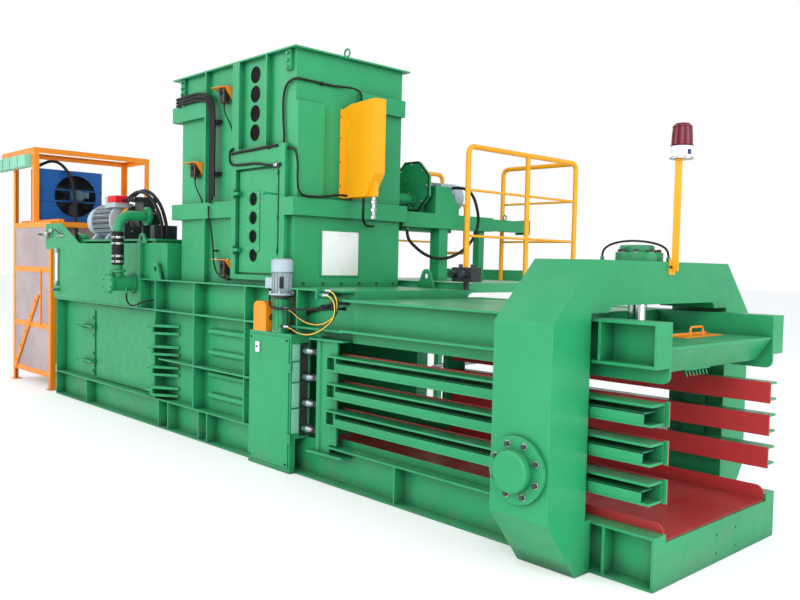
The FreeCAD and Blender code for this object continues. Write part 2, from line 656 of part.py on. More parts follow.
def hopper_door():
    """Door with its window strip, hinge sleeves and the carriers of the latch rod."""
    x0, x1 = door_x()
    y = -HOPPER_HALF - SEAT
    panel = box(x0, x1, y - DOOR_SHEET, y, DOOR_BOTTOM, DOOR_BOTTOM + DOOR_HEIGHT)
    strip_x = x1 - 361
    pieces = [panel]
    pieces.append(soft_prism([(strip_x - 86, DOOR_BOTTOM + 160), (strip_x + 86, DOOR_BOTTOM + 160),
                              (strip_x + 86, DOOR_BOTTOM + 628), (strip_x - 86, DOOR_BOTTOM + 628)],
                             20, "y", y - DOOR_SHEET - 6, y - DOOR_SHEET))
    out = HOPPER_HALF + BAND_DEPTH
    for z in (DOOR_BOTTOM + 175, DOOR_BOTTOM + 615):
        _, sleeve = knuckles(x0 - 26, -out - 14.9, z, 8, 30)
        pieces.append(sleeve)
        arm = prism([(x0 - 16, -out - 20), (x0 + 40, -out - 20), (x0 + 40, y - DOOR_SHEET),
                     (x0 + 28, y - DOOR_SHEET), (x0 + 28, -out - 9), (x0 - 16, -out - 9)],
                    "z", z - 12, z + 12)
        pieces.append(arm)
    # carriers of the latch rod
    for z in (DOOR_BOTTOM + 160, DOOR_BOTTOM + 400, DOOR_BOTTOM + DOOR_HEIGHT - 48):
        pieces.append(box(x1 - 34, x1 - 4, y - DOOR_SHEET - 34, y - DOOR_SHEET, z, z + 26))
    door = fuse(*pieces)
    tools = []
    for z in (136, 280, 424, 568):
        tools.append(rod(strip_x, y + 1, DOOR_BOTTOM + z, "y", -60, DOOR_WINDOW_RADIUS))
    tools.append(rod(x1 - 19, y - DOOR_SHEET - 17, DOOR_BOTTOM, "z", DOOR_HEIGHT, 9 + RUN))
    return cut(door, *tools)


def latch_rod():
    """Rod that bolts the door at top and bottom, with its collar, handle and knob."""
    _, x1 = door_x()
    x = x1 - 19
    y = -HOPPER_HALF - SEAT - DOOR_SHEET - 17
    z = DOOR_BOTTOM + 143
    shaft = rod(x, y, z, "z", DOOR_HEIGHT - 161, 9)
    collar = rod(x, y, DOOR_BOTTOM + 560, "z", 60, 11)
    handle = rod(x, y, DOOR_BOTTOM + 590, "y", -110, 8)
    knob = rod(x, y - 110, DOOR_BOTTOM + 590, "y", -26, 14)
    return fuse(shaft, collar, handle, knob)


def light_sensors():
    """Three light-barrier heads, each hung under a folded bracket on the near wall of the hopper."""
    heads = []
    spare = x_mid_post - x_shell_rear - 240
    between = LOWER_BAND + BAND_HEIGHT
    places = ((x_post - 191, HOPPER_TOP - 170),
              (x_shell_rear + 125 + 0.515 * spare, between + 0.488 * (z_upper_band - between)),
              (x_post - 156, 1500))
    for x, z in places:
        y = -HOPPER_HALF
        top = prism([(x - 125, y), (x + 115, y), (x + 115, y - 75), (x - 60, y - 95)], "z", z - 4, z)
        gusset = prism([(y, z), (y - 75, z), (y, z - 105)], "x", x + 111, x + 115)
        head = box(x + 24, x + 96, y - 66, y - 14, z - 126, z - 4)
        lens = rod(x + 60, y - 14, z - 96, "y", 14, 22)
        heads.append(fuse(top, gusset, head, lens))
    return group(*heads)


def flap_guard():
    """Folded sheet guard over the flap drive on the front of the hopper."""
    x = x_hopper_front
    top = above_door(0.499)
    outline = [(x, 1985), (x, top - 40), (x + 85, top - 13), (x + 365, top), (x + 365, 2160), (x + 260, 1990)]
    outer = prism(outline, "y", -78, 28)
    inner = prism([(x - 1, 1980), (x - 1, top - 45), (x + 85, top - 18), (x + 361, top - 6), (x + 361, 2162),
                   (x + 250, 1980)], "y", -78 + SHEET, 28 - SHEET)
    seam = box(x, x + SHEET, -108, -78, 1990, top - 45)
    stub = box(x + 262, x + 330, -40, 0, 1992, 2120)
    gland = rod(x + 115, 0, top - 17, "z", 32, 12)
    fitting = rod(x + 300, -20, 1830, "z", 175, 15)
    return fuse(outer.cut(inner), seam, stub, fitting, gland)


def lifting_lugs():
    """Plate lugs with slinging holes, ring bolts and the corner bolt clusters of the hopper."""
    pieces = []
    for x, y in ((x_hopper_rear - 180, -rib_out + 11), (x_hopper_front + 240, rib_out - 40)):
        lug = prism([(x - 95, BODY_TOP), (x + 95, BODY_TOP), (x + 42, BODY_TOP + 120),
                     (x - 42, BODY_TOP + 120)], "y", y - 10, y + 10)
        crown = rod(x, y - 10, BODY_TOP + 104, "y", 20, 45)
        lug = fuse(lug, crown).cut(rod(x, y - 11, BODY_TOP + 92, "y", 22, 24))
        pieces.append(lug)
    for x in (x_hopper_front + 20, x_hopper_rear - 20):
        ring = Part.makeTorus(30, 7, V(x, -70, HOPPER_TOP + 34), V(0, 1, 0))
        pieces.append(ring.cut(box(x - 60, x + 60, -100, -40, HOPPER_TOP - 20, HOPPER_TOP)))
    for x, y in ((x_hopper_front - 70, -HOPPER_HALF), (x_shell_rear + 36, -HOPPER_HALF)):
        pad = box(x - 30, x + 30, y - 26, y, HOPPER_TOP - 160, HOPPER_TOP - FLANGE)
        for z in (HOPPER_TOP - 140, HOPPER_TOP - 90, HOPPER_TOP - 40):
            pad = pad.fuse(rod(x, y - 26, z, "y", -16, 13))
        pieces.append(pad.removeSplitter())
    return group(*pieces)


# ---------------------------------------------------------------- tie station
def knotter_cabinet():
    """Sheet cabinet of the wire twisters, with the slot that the twister heads look out of."""
    x1 = x_knot
    x0 = x1 - CABINET_LENGTH
    y0 = -CABINET_Y
    y1 = -wall_out - SEAT
    base = BASE_HEIGHT + 1
    upper = box(x0, x1, y0, y1, base, CABINET_TOP).cut(
        box(x0 + SHEET, x1 - SHEET, y0 + SHEET, y1 + 1, base + SHEET, CABINET_TOP - SHEET))
    skirt_y = -rib_out - SEAT
    skirt = box(x0, x1, y0, skirt_y, 0, base + SHEET).cut(
        box(x0 + SHEET, x1 - SHEET, y0 + SHEET, skirt_y - SHEET, -1, base + SHEET + 1))
    doorway = box(x0 + 34, x1 - 24, y0 - 1, y0 + SHEET + 1, 60, CABINET_TOP - 40)
    slot = box(x1 - SHEET - 1, x1 + 1, TWIST_Y - 42, y1 + 1, GEAR_CASE_LOW - 8, GEAR_CASE_HIGH + 7)
    shell = cut(fuse(upper, skirt), doorway, slot)
    pieces = [shell]
    for z in CABINET_HINGES:
        fixed, _ = knuckles(x1 + 9, y0 - 8, z, 5, 34)
        pieces.append(fixed)
        for side in (-34, 17):
            pieces.append(box(x1 - 10, x1 + 9, y0 - 12, y0 - 4, z + side, z + side + 17).cut(
                rod(x1 + 9, y0 - 8, z + side, "z", 17, 5)))
            pieces.append(box(x1 - 10, x1, y0 - 6, y0, z + side, z + side + 17))
    return fuse(*pieces)


def knotter_gearbox():
    """Gear case of the four twisters, and the bevel gearbox that stands on the cabinet."""
    case = box(x_knot - 200, x_knot - SHEET, TWIST_Y - 40, TWIST_Y + 26, GEAR_CASE_LOW, GEAR_CASE_HIGH)
    for z in TWIST_HEIGHTS:
        case = case.cut(rod(x_knot - 120, TWIST_Y, z, "x", 200, 18 + RUN))
    stand = box(x_knot - 190, x_knot - 160, TWIST_Y - 30, TWIST_Y + 20, BASE_HEIGHT + 1 + SHEET, GEAR_CASE_LOW)
    neck = rod(KNOT_MOTOR_X, KNOT_MOTOR_Y, GEAR_CASE_HIGH, "z", CABINET_TOP - SHEET - GEAR_CASE_HIGH, 30)
    link = box(KNOT_MOTOR_X - 30, x_knot - 150, KNOT_MOTOR_Y - 20, TWIST_Y, GEAR_CASE_HIGH - 20, GEAR_CASE_HIGH)
    return group(fuse(case, stand, link, neck), knotter_column())


def twister(z):
    """Slotted cone that twists the two wire ends, on its shaft."""
    cone = turned([(SEAT, 36), (60, 33), (104, 20), (118, 20)], x_knot, TWIST_Y, z, "x")
    cone = cone.cut(box(x_knot + 40, x_knot + 130, TWIST_Y - 4, TWIST_Y + 4, z - 60, z + 60))
    return fuse(cone, rod(x_knot - 118, TWIST_Y, z, "x", 120, 18))


def cabinet_door():
    """Sheet door of the knotter's cabinet, on its pins."""
    x1 = x_knot
    x0 = x1 - CABINET_LENGTH
    door_y = -CABINET_Y - SEAT
    pieces = [box(x0 + 12, x1 - 18, door_y - SHEET - 3, door_y, 38, CABINET_TOP - 26)]
    for z in CABINET_HINGES:
        _, sleeve = knuckles(x1 + 9, -CABINET_Y - 8, z, 5, 34)
        pieces.append(sleeve)
        pieces.append(box(x1 - 20, x1 + 3, door_y - SHEET - 8, door_y - SHEET - 2, z - 14, z + 14))
    pieces.append(box(x0 + 118, x0 + 134, door_y - SHEET - 11, door_y - SHEET - 3, 836, 900))
    return fuse(*pieces)


TWIST_Y = -wall_out - 30.0
CABINET_HINGES = (250.0, 750.0)
KNOT_MOTOR_X = x_knot - 197.0
KNOT_MOTOR_Y = -rib_out + 5.0


def knotter_column():
    """The bevel gearbox over the cabinet, with cooling fins, side shaft and motor flange."""
    x, y = KNOT_MOTOR_X, KNOT_MOTOR_Y
    column = turned([(CABINET_TOP, 56), (CABINET_TOP + 14, 56), (CABINET_TOP + 14, 44),
                     (1236, 44), (1236, 80), (1254, 80)], x, y, 0, "z")
    pieces = [column]
    for z in range(1040, 1220, 24):
        pieces.append(rod(x, y, z, "z", 8, 58))
    pieces.append(rod(x - 110, y, 1085, "x", 110, 22))
    for z in HOSE_STARTS:
        pieces.append(rod(x, y - 34, z, "x", 88, 9))
    return fuse(*pieces)


def knotter_motor():
    """Flange motor: fan cowl on top, finned body, four-eared flange and terminal box."""
    x, y = KNOT_MOTOR_X, KNOT_MOTOR_Y
    body = turned([(1254, 92), (1268, 92), (1268, 62), (1420, 62), (1420, 78), (1496, 78), (1511, 66)],
                  x, y, 0, "z")
    pieces = [body]
    for i in range(16):
        fin = box(x + 56, x + 74, y - 2, y + 2, 1276, 1412)
        fin.rotate(V(x, y, 0), V(0, 0, 1), i * 360 / 16)
        pieces.append(fin)
    pieces.append(box(x - 150, x - 60, y - 36, y + 36, 1302, 1372))
    return fuse(*pieces)


def chain_guard():
    """Round-topped guard of the chain between the side shaft and the twisters."""
    x0 = KNOT_MOTOR_X - 280
    outline = [(x0, CABINET_TOP), (x0 + 160, CABINET_TOP), (x0 + 160, 1202), (x0, 1202)]
    y0 = -CABINET_Y
    outer = prism(outline, "y", y0, y0 + 110)
    top = [e for e in outer.Edges if abs(e.CenterOfMass.z - 1202) < 1 and abs(e.CenterOfMass.y - y0 - 55) < 1]
    outer = outer.makeFillet(50, top)
    hollow = outer.copy().translate(V(0, 0, -SHEET))
    hollow = hollow.common(box(x0 + SHEET, x0 + 160 - SHEET, y0 + SHEET, y0 + 110 - SHEET, 900, 1300))
    return cut(outer, hollow, rod(KNOT_MOTOR_X - 180, KNOT_MOTOR_Y, 1085, "x", 100, 23))


def needle_carriage():
    """Four needles on a carriage that pushes the wires across the bale."""
    x = x_knot + NEEDLE_SETBACK
    y = rib_out + NEEDLE_STROKE
    tip = wall_out + 60
    pieces = [box(x - 110, x + 100, y, y + 40, 236 + SEAT, 960)]
    for z in TWIST_HEIGHTS:
        needle = turned([(0, 4), (70, NEEDLE_RADIUS), (y - tip, NEEDLE_RADIUS)], x, tip, z, "y")
        pieces.append(needle)
    return fuse(*pieces)


# ---------------------------------------------------------------- tension frame
def tension_frame():
    """The portal that carries the three clamp cylinders, as one closed box section."""
    high = FRAME_HEIGHT - FRAME_CHAMFER
    foot = FRAME_HALF - FOOT_CHAMFER_Y
    ledge = BEAM_TOP + 23
    half = [(foot, 0.0), (FRAME_HALF, FOOT_CHAMFER_Z), (FRAME_HALF, high),
            (FRAME_HALF - FRAME_CHAMFER, FRAME_HEIGHT)]
    inside = [(WINDOW_TOP - ledge, WINDOW_TOP)]
    inner = [(rib_out, 0.0), (rib_out, BASE_HEIGHT + 7), (LEG_INNER, BASE_HEIGHT + 7),
             (LEG_INNER, ledge), (556.0, ledge), (556.0 - (inside[0][0]) * 0.75, WINDOW_TOP)]
    outline = half + [(-y, z) for y, z in reversed(half)]
    outline += [(-y, z) for y, z in inner] + list(reversed(inner))
    frame = prism(outline, "x", -x_front, x_front)
    tools = [rod(0, 0, WINDOW_TOP - 1, "z", FRAME_HEIGHT - WINDOW_TOP + 2, TOP_ROD_RADIUS + BARREL_WALL)]
    for side in (-1, 1):
        tools.append(rod(0, side * (LEG_INNER - 1), CLAMP_HEIGHT, "y",
                         side * (FRAME_HALF - LEG_INNER + 2), SIDE_ROD_RADIUS + BARREL_WALL))
    frame = cut(frame, *tools)
    return fuse(frame, *[rod(x, y, FRAME_HEIGHT, "z", 24, 11) for x, y in LAMP_SOCKETS])


def clamp_cylinders():
    """Two side cylinders and the top one, each a barrel through the frame with an outer flange."""
    side = turned([(LEG_INNER, SIDE_ROD_RADIUS + BARREL_WALL), (FRAME_HALF, SIDE_ROD_RADIUS + BARREL_WALL),
                   (FRAME_HALF, SIDE_FLANGE_RADIUS), (FRAME_HALF + 25, SIDE_FLANGE_RADIUS),
                   (FRAME_HALF + 25, SIDE_CAP_RADIUS), (FRAME_HALF + 74, SIDE_CAP_RADIUS),
                   (FRAME_HALF + 82, SIDE_CAP_RADIUS - 8)], 0, 0, CLAMP_HEIGHT, "y")
    side = side.cut(rod(0, LEG_INNER - 1, CLAMP_HEIGHT, "y", FRAME_HALF - LEG_INNER, SIDE_ROD_RADIUS + RUN))
    top = turned([(WINDOW_TOP, TOP_ROD_RADIUS + BARREL_WALL), (FRAME_HEIGHT, TOP_ROD_RADIUS + BARREL_WALL),
                  (FRAME_HEIGHT, 128), (FRAME_HEIGHT + 48, 128), (FRAME_HEIGHT + 48, 82),
                  (FRAME_HEIGHT + 82, 82), (FRAME_HEIGHT + 90, 70)], 0, 0, 0, "z")
    top = top.cut(rod(0, 0, WINDOW_TOP - 1, "z", FRAME_HEIGHT - WINDOW_TOP, TOP_ROD_RADIUS + RUN))
    port = rod(-40, 0, FRAME_HEIGHT + 66, "x", -70, 26)
    return group(side, far_side(side), fuse(top, port))


def clamp_bolts():
    """Cap screws of the three cylinder flanges, eight to each."""
    bolts = []
    for i in range(8):
        angle = math.radians(22.5 + 45 * i)
        bx = 131 * math.cos(angle)
        bz = CLAMP_HEIGHT + 131 * math.sin(angle)
        bolt = rod(bx, FRAME_HALF + 25, bz, "y", 16, BOLT_RADIUS)
        bolts += [bolt, far_side(bolt)]
        tx = 106 * math.cos(angle)
        ty = 106 * math.sin(angle)
        bolts.append(rod(tx, ty, FRAME_HEIGHT + 48, "z", 18, BOLT_RADIUS))
    return group(*bolts)


def side_rod():
    """A side clamp rod with a crowned end, so that it can lean on the swinging gate."""
    crown = RAIL_OUTER + RAIL_PLATE + SEAT
    body = turned([(crown, 12), (crown + 4, SIDE_ROD_RADIUS - 8), (crown + 9, SIDE_ROD_RADIUS),
                   (FRAME_HALF - 70, SIDE_ROD_RADIUS)], 0, 0, CLAMP_HEIGHT, "y")
    return body


def top_rod():
    """Rod that presses on the platen."""
    crown = DECK_FRONT + 25 + SEAT
    return turned([(crown, 14), (crown + 4, TOP_ROD_RADIUS - 9), (crown + 9, TOP_ROD_RADIUS),
                   (FRAME_HEIGHT - 70, TOP_ROD_RADIUS)], 0, 0, 0, "z")


# ---------------------------------------------------------------- gates and platen
def rail_heights():
    """Heights of the middle of the three rails of a gate."""
    return [RAIL_CENTRE + RAIL_PITCH * k for k in (-1, 0, 1)]


def side_gate():
    """The far gate: three channel rails on a hinged post, tied by the plate that the rod pushes."""
    pieces = []
    for z in rail_heights():
        low, high = z - RAIL_HEIGHT / 2, z + RAIL_HEIGHT / 2
        section = [(RAIL_INNER, low), (RAIL_OUTER, low), (RAIL_OUTER, low + RAIL_PLATE),
                   (RAIL_INNER + RAIL_PLATE, low + RAIL_PLATE), (RAIL_INNER + RAIL_PLATE, high - RAIL_PLATE),
                   (RAIL_OUTER, high - RAIL_PLATE), (RAIL_OUTER, high), (RAIL_INNER, high)]
        pieces.append(prism(section, "x", x_rails, x_lip - 20))
        pieces.append(box(x_rails, x_rails + RAIL_PLATE, RAIL_INNER, RAIL_OUTER, low, high))
        pieces.append(box(x_rails + 90, x_rails + 90 + RAIL_PLATE, RAIL_INNER, RAIL_OUTER, low, high))
    post_y = GATE_PIN_Y
    notch = BASE_HEIGHT + 8
    pieces.append(prism([(x_gate_pin - 18, GATE_POST_BOTTOM), (x_rails - 10, GATE_POST_BOTTOM),
                         (x_rails - 10, notch), (x_rails + 60, notch), (x_rails + 60, GATE_POST_TOP),
                         (x_gate_pin - 18, GATE_POST_TOP)], "y", post_y - 8, post_y + 8))
    pieces.append(rod(x_gate_pin, post_y, GATE_POST_BOTTOM, "z", GATE_POST_TOP - GATE_POST_BOTTOM,
                      GATE_PIN_RADIUS + 6))
    pieces.append(rod(x_gate_pin, post_y, GATE_POST_BOTTOM - 24, "z",
                      GATE_POST_TOP - GATE_POST_BOTTOM + 50, GATE_PIN_RADIUS))
    low = RAIL_CENTRE - RAIL_PITCH - RAIL_HEIGHT / 2
    high = RAIL_CENTRE + RAIL_PITCH + RAIL_HEIGHT / 2
    pieces.append(box(-70, 70, RAIL_OUTER, RAIL_OUTER + RAIL_PLATE, low, high))
    return fuse(*pieces)


def gate_liners():
    """Red wear plates on the inner faces of the three rails of the far gate."""
    plates = []
    for z in rail_heights():
        plates.append(box(x_rails, x_lip, RAIL_INNER - LINER, RAIL_INNER,
                          z - RAIL_LINER_HEIGHT / 2, z + RAIL_LINER_HEIGHT / 2))
    return group(*plates)


HATCH_X0 = x_front + 15.0
HATCH_X1 = x_front + 115.0
HATCH_Y0 = 20.0
HATCH_Y1 = 420.0
HATCH_PIN = 8.0            # height of the hatch's pin over the deck


def top_platen():
    """The hinged roof of the outlet: box platen, two channel beams, guide plates and its pin."""
    pin_x = x_body_end + PLATEN_PIN_SETBACK
    inner = RAIL_INNER
    core = prism([(pin_x + 80, PLATEN_BOTTOM), (x_lip - 90, PLATEN_BOTTOM), (x_lip - 10, DECK_FRONT - 12),
                  (x_lip - 10, DECK_FRONT), (-x_front - 15, DECK_FRONT), (-x_front - 15, DECK_REAR),
                  (x_body_end + 7, DECK_REAR), (x_body_end + 7, DECK_REAR - 12),
                  (pin_x + 80, DECK_REAR - 12)], "y", -inner, inner)
    section = [(inner, BEAM_BOTTOM), (BEAM_OUTER, BEAM_BOTTOM), (BEAM_OUTER, BEAM_BOTTOM + RIB),
               (inner + RIB, BEAM_BOTTOM + RIB), (inner + RIB, BEAM_TOP - RIB), (BEAM_OUTER, BEAM_TOP - RIB),
               (BEAM_OUTER, BEAM_TOP), (inner, BEAM_TOP)]
    beam = prism(section, "x", x_body_end + 7, x_lip)
    pieces = [core, beam, far_side(beam)]
    for x in (x_front + 30, x_lip - RIB):
        rib = box(x, x + RIB, inner, BEAM_OUTER, BEAM_BOTTOM, BEAM_TOP)
        pieces += [rib, far_side(rib)]
    guide = box(x_body_end + 7, x_lip, inner, inner + RIB, GUIDE_BOTTOM, BEAM_BOTTOM + 1)
    corner = [e for e in guide.Edges
              if abs(e.CenterOfMass.z - GUIDE_BOTTOM) < 1 and abs(e.CenterOfMass.x - x_lip) < 1]
    guide = guide.makeFillet(40, corner)
    pieces += [guide, far_side(guide)]
    pieces.append(rod(pin_x, -inner - RIB, PLATEN_PIN_HEIGHT, "y", 2 * (inner + RIB), PLATEN_PIN_RADIUS))
    pieces.append(rod(0, 0, DECK_FRONT, "z", 25, 90))
    platen = fuse(*pieces)
    # eyes of the hatch's pin
    for y0 in (HATCH_Y0 - 20, HATCH_Y1 + 2):
        eye = box(HATCH_X0 - 13, HATCH_X0 + 13, y0, y0 + 18, DECK_FRONT, DECK_FRONT + 20)
        platen = platen.fuse(eye)
    bore = rod(HATCH_X0, HATCH_Y0 - 30, DECK_FRONT + HATCH_PIN, "y", HATCH_Y1 - HATCH_Y0 + 60, 6 + RUN)
    return platen.cut(bore)


def platen_hatch():
    """Lid of the opening in the front deck, with its bow handle and edge hinge."""
    z = DECK_FRONT + SEAT
    lid = box(HATCH_X0, HATCH_X1, HATCH_Y0, HATCH_Y1, z, z + 5)
    pin = rod(HATCH_X0, HATCH_Y0 - 18, DECK_FRONT + HATCH_PIN, "y", HATCH_Y1 - HATCH_Y0 + 36, 6)
    y = (HATCH_Y0 + HATCH_Y1) / 2
    x = (HATCH_X0 + HATCH_X1) / 2
    bow = bent_tube([(x, y - 70, z + 4), (x, y - 70, z + 50), (x, y + 70, z + 50), (x, y + 70, z + 4)], 6, 16)
    return fuse(lid, bow, pin)


# ---------------------------------------------------------------- warning lamp
def beacon_post():
    """Bent angle post of the lamp, with its foot, plate and lamp base."""
    x = x_front
    y = LAMP_POLE_Y
    z = z_lamp
    foot = box(x, x + 6, 10, 70, FRAME_HEIGHT - 70, FRAME_HEIGHT + 14)
    pole = prism([(x + 6, y - 55), (x + 46, y - 55), (x + 46, y - 50), (x + 11, y - 50), (x + 11, y - 15),
                  (x + 6, y - 15)], "z", FRAME_HEIGHT - 50, z)
    plate = rod(x + 30, y - 33, z, "z", 6, 62)
    base = turned([(6, 50), (11, 55), (67, 55)], x + 30, y - 33, z, "z")
    spindle = rod(x + 30, y - 33, z + 67, "z", 14, 8)
    return fuse(foot, pole, plate, base, spindle)


def beacon_dome():
    """Red lens of the lamp, open below."""
    x = x_front + 30
    y = LAMP_POLE_Y - 33
    profile = [(67, LAMP_RADIUS), (137, LAMP_RADIUS - 3), (175, LAMP_RADIUS - 7), (189, LAMP_RADIUS - 20)]
    inside = [(66, LAMP_RADIUS - 3), (136, LAMP_RADIUS - 6), (172, LAMP_RADIUS - 11), (185, LAMP_RADIUS - 24)]
    return turned(profile, x, y, z_lamp, "z").cut(turned(inside, x, y, z_lamp, "z"))


def beacon_rotor():
    """The turning mirror inside the lamp."""
    x = x_front + 30
    y = LAMP_POLE_Y - 33
    z = z_lamp + 68
    hub = tube(x, y, z, "z", 12, 26, 8 + RUN)
    mirror = rod(x, y, z + 12, "z", 70, 34).cut(rod(x + 24, y, z + 11, "z", 72, 34))
    return fuse(hub, mirror.cut(rod(x, y, z - 1, "z", 14.5, 9)))


# ---------------------------------------------------------------- power unit
def oil_tank():
    """Oil tank on its skid, stepped over the high part of the body, with the pump's base frame."""
    x0 = x_rear - TANK_OVERHANG
    x1 = x_hopper_rear - HOPPER_FLANGE
    low = box(x0, x_step - 12, -TANK_HALF, TANK_HALF - 60, TANK_BOTTOM, TANK_TOP)
    high = box(x_step - 12, x1, -rib_out + LUG_BERTH, TANK_HALF - 60, BODY_TOP, TANK_TOP)
    pieces = [low, high]
    skid = ROOF + RIB / 2
    for y in (-TANK_HALF, TANK_HALF - 120):
        pieces.append(box(x0 + 20, x_step - 40, y, y + 60, skid, TANK_BOTTOM))
    pieces.append(prism([(x0, TANK_TOP - 60), (x0, TANK_TOP), (x0 + 694, TANK_TOP),
                         (x0 + 208, TANK_TOP + 219), (x0 - 238, TANK_TOP + 219), (x0 - 238, TANK_TOP - 60)], "y",
                        -TANK_HALF, -TANK_HALF + 8))
    gauge_x = x0 + 140
    pieces.append(rod(gauge_x, -TANK_HALF - 20, 1180, "z", 400, 13))
    for z in (1195, 1560):
        pieces.append(rod(gauge_x, -TANK_HALF, z, "y", -20, 8))
    pieces.append(rod(gauge_x + 20, -TANK_HALF, 1135, "y", -50, 16))
    # base frame of the pump set, on low feet
    base = TANK_TOP + PUMP_BASE
    pieces.append(box(x_motor - 320, x_strainer + 330, MOTOR_Y - 200, MOTOR_Y + 200, base - 20, base))
    for x in (x_motor - 310, x_motor + 330, x_strainer + 260):
        pieces.append(box(x, x + 60, MOTOR_Y - 190, MOTOR_Y + 190, TANK_TOP, base - 20))
    x = x_strainer + 100
    y = -TANK_HALF + 30
    lug = prism([(x - 100, TANK_TOP), (x + 100, TANK_TOP), (x + 58, TANK_TOP + 52), (x - 58, TANK_TOP + 52)],
                "y", y, y + 16)
    lug = fuse(lug, rod(x, y, TANK_TOP + 40, "y", 16, 55)).cut(rod(x, y - 1, TANK_TOP + 46, "y", 18, 24))
    pieces.append(lug)
    # socket of the cooler's hose
    pieces.append(rod(x0, *RETURN_SOCKET, "x", -18, 36))
    pieces.append(rod(x0, *RETURN_SOCKET, "x", -40, 24))
    return fuse(*pieces)


def pump_motor():
    """Foot-mounted pump motor with fins, end shields, feet and terminal box."""
    x, y, z = x_motor, MOTOR_Y, MOTOR_Z
    half = MOTOR_LENGTH / 2
    r = MOTOR_RADIUS
    body = turned([(-half, r * 0.72), (-half + 20, r * 0.86), (-half + 150, r * 0.86), (-half + 150, r),
                   (-half + 180, r), (-half + 180, r * 0.85), (half - 60, r * 0.85), (half - 60, r),
                   (half - 25, r), (half - 25, r * 0.5), (half, r * 0.5)], x, y, z, "x")
    pieces = [body, rod(x + half, y, z, "x", 70, 34)]
    for i in range(20):
        fin = box(x - half + 180, x + half - 60, y - 3, y + 3, z + r * 0.8, z + r * 0.98)
        fin.rotate(V(x, y, z), V(1, 0, 0), i * 18)
        pieces.append(fin)
    base = TANK_TOP + PUMP_BASE
    for fx in (x - 170, x + 150):
        pieces.append(prism([(y - 165, base), (y + 165, base), (y + 165, base + 16), (y + 100, z - 100),
                             (y - 100, z - 100), (y - 165, base + 16)], "x", fx, fx + 60))
    pieces.append(box(x + 110, x + 350, y - 150, y - 10, z + r * 0.72, z + r + 60))
    return fuse(*pieces)


def coupling_guard():
    """Guard over the coupling between motor and pump."""
    x0 = x_motor + MOTOR_LENGTH / 2 + 6
    base = TANK_TOP + PUMP_BASE
    arch = [(MOTOR_Y - 95, base), (MOTOR_Y + 95, base), (MOTOR_Y + 95, MOTOR_Z + 60),
            (MOTOR_Y + 50, MOTOR_Z + 120), (MOTOR_Y - 50, MOTOR_Z + 120), (MOTOR_Y - 95, MOTOR_Z + 60)]
    inner = [(MOTOR_Y - 91, base - 1), (MOTOR_Y + 91, base - 1), (MOTOR_Y + 91, MOTOR_Z + 58),
             (MOTOR_Y + 48, MOTOR_Z + 116), (MOTOR_Y - 48, MOTOR_Z + 116), (MOTOR_Y - 91, MOTOR_Z + 58)]
    return prism(arch, "x", x0, x0 + 185).cut(prism(inner, "x", x0 - 1, x0 + 186))


def pump_block():
    """Pump with its stand and the valve stack on it, and the valve block beside the far gangway."""
    x0 = x_motor + MOTOR_LENGTH / 2 + 200
    base = TANK_TOP + PUMP_BASE
    pump = turned([(0, 150), (30, 150), (30, 96), (210, 96), (210, 112), (250, 112), (250, 70),
                   (330, 70)], x0, MOTOR_Y, MOTOR_Z, "x")
    pieces = [pump]
    pieces.append(box(x0, x0 + 30, MOTOR_Y - 150, MOTOR_Y + 150, base, MOTOR_Z))
    pieces.append(box(x0 + 250, x0 + 276, MOTOR_Y - 80, MOTOR_Y + 80, base, MOTOR_Z))
    pieces.append(box(x0 + 60, x0 + 240, MOTOR_Y - 60, MOTOR_Y + 60, MOTOR_Z + 80, MOTOR_Z + 170))
    for i in range(3):
        pieces.append(box(x0 + 68 + 58 * i, x0 + 112 + 58 * i, MOTOR_Y - 100, MOTOR_Y + 100,
                          MOTOR_Z + 170, MOTOR_Z + 216))
    pieces.append(rod(x_strainer, STRAINER_Y + 298, STRAINER_Z + 624, "y",
                      MOTOR_Y - STRAINER_Y - 298, 40))
    pieces.append(box(x_strainer + 90, x_strainer + 170, MOTOR_Y - 130, MOTOR_Y + 100, base, base + 130))
    power = fuse(*pieces)
    bx, by = x_body_end - 40, rib_out - 70
    stand = box(bx - 15, bx + 15, by - 15, by + 15, BODY_TOP, BODY_TOP + 60)
    block = box(bx - 100, bx + 100, by - 55, by + 55, BODY_TOP + 60, BODY_TOP + 170)
    coils = []
    for i in (-1, 1):
        coils.append(rod(bx + i * 48, by - 55, BODY_TOP + 118, "y", -70, 26))
        coils.append(rod(bx + i * 60, by, BODY_TOP + 170, "z", 24, 16))
    return group(power, fuse(stand, block, *coils))


def suction_pipe():
    """Suction strainer bolted to the tank, its neck, and the flanged bend into the pump."""
    x, y, z = x_strainer, STRAINER_Y, STRAINER_Z
    r = SUCTION_RADIUS
    body = turned([(-TANK_HALF, 94), (-TANK_HALF - 26, 94), (-TANK_HALF - 26, 72), (y - 72, 72),
                   (y - 72, 94), (y - 97, 94)], x, 0, z, "y")
    neck = turned([(60, 52), (100, 52), (100, 70), (122, 70), (122, r), (210, r)], x, y, z, "z")
    drain = rod(x + 52, y + 60, z - 40, "z", -50, 12)
    bend_low = z + 430
    bend_r = 130.0
    riser = rod(x, y, bend_low, "z", 64, r)
    centre = V(x, y + bend_r, bend_low + 64)
    section = Part.Face(Part.Wire(Part.makeCircle(r, V(x, y, bend_low + 64), V(0, 0, 1))))
    elbow = section.revolve(centre, V(1, 0, 0), -90)
    out = rod(x, y + bend_r, bend_low + 64 + bend_r, "y", 138, r)
    flange = rod(x, y + bend_r + 138, bend_low + 64 + bend_r, "y", 30, 86)
    return group(fuse(body, neck, drain), fuse(riser, elbow, out, flange))


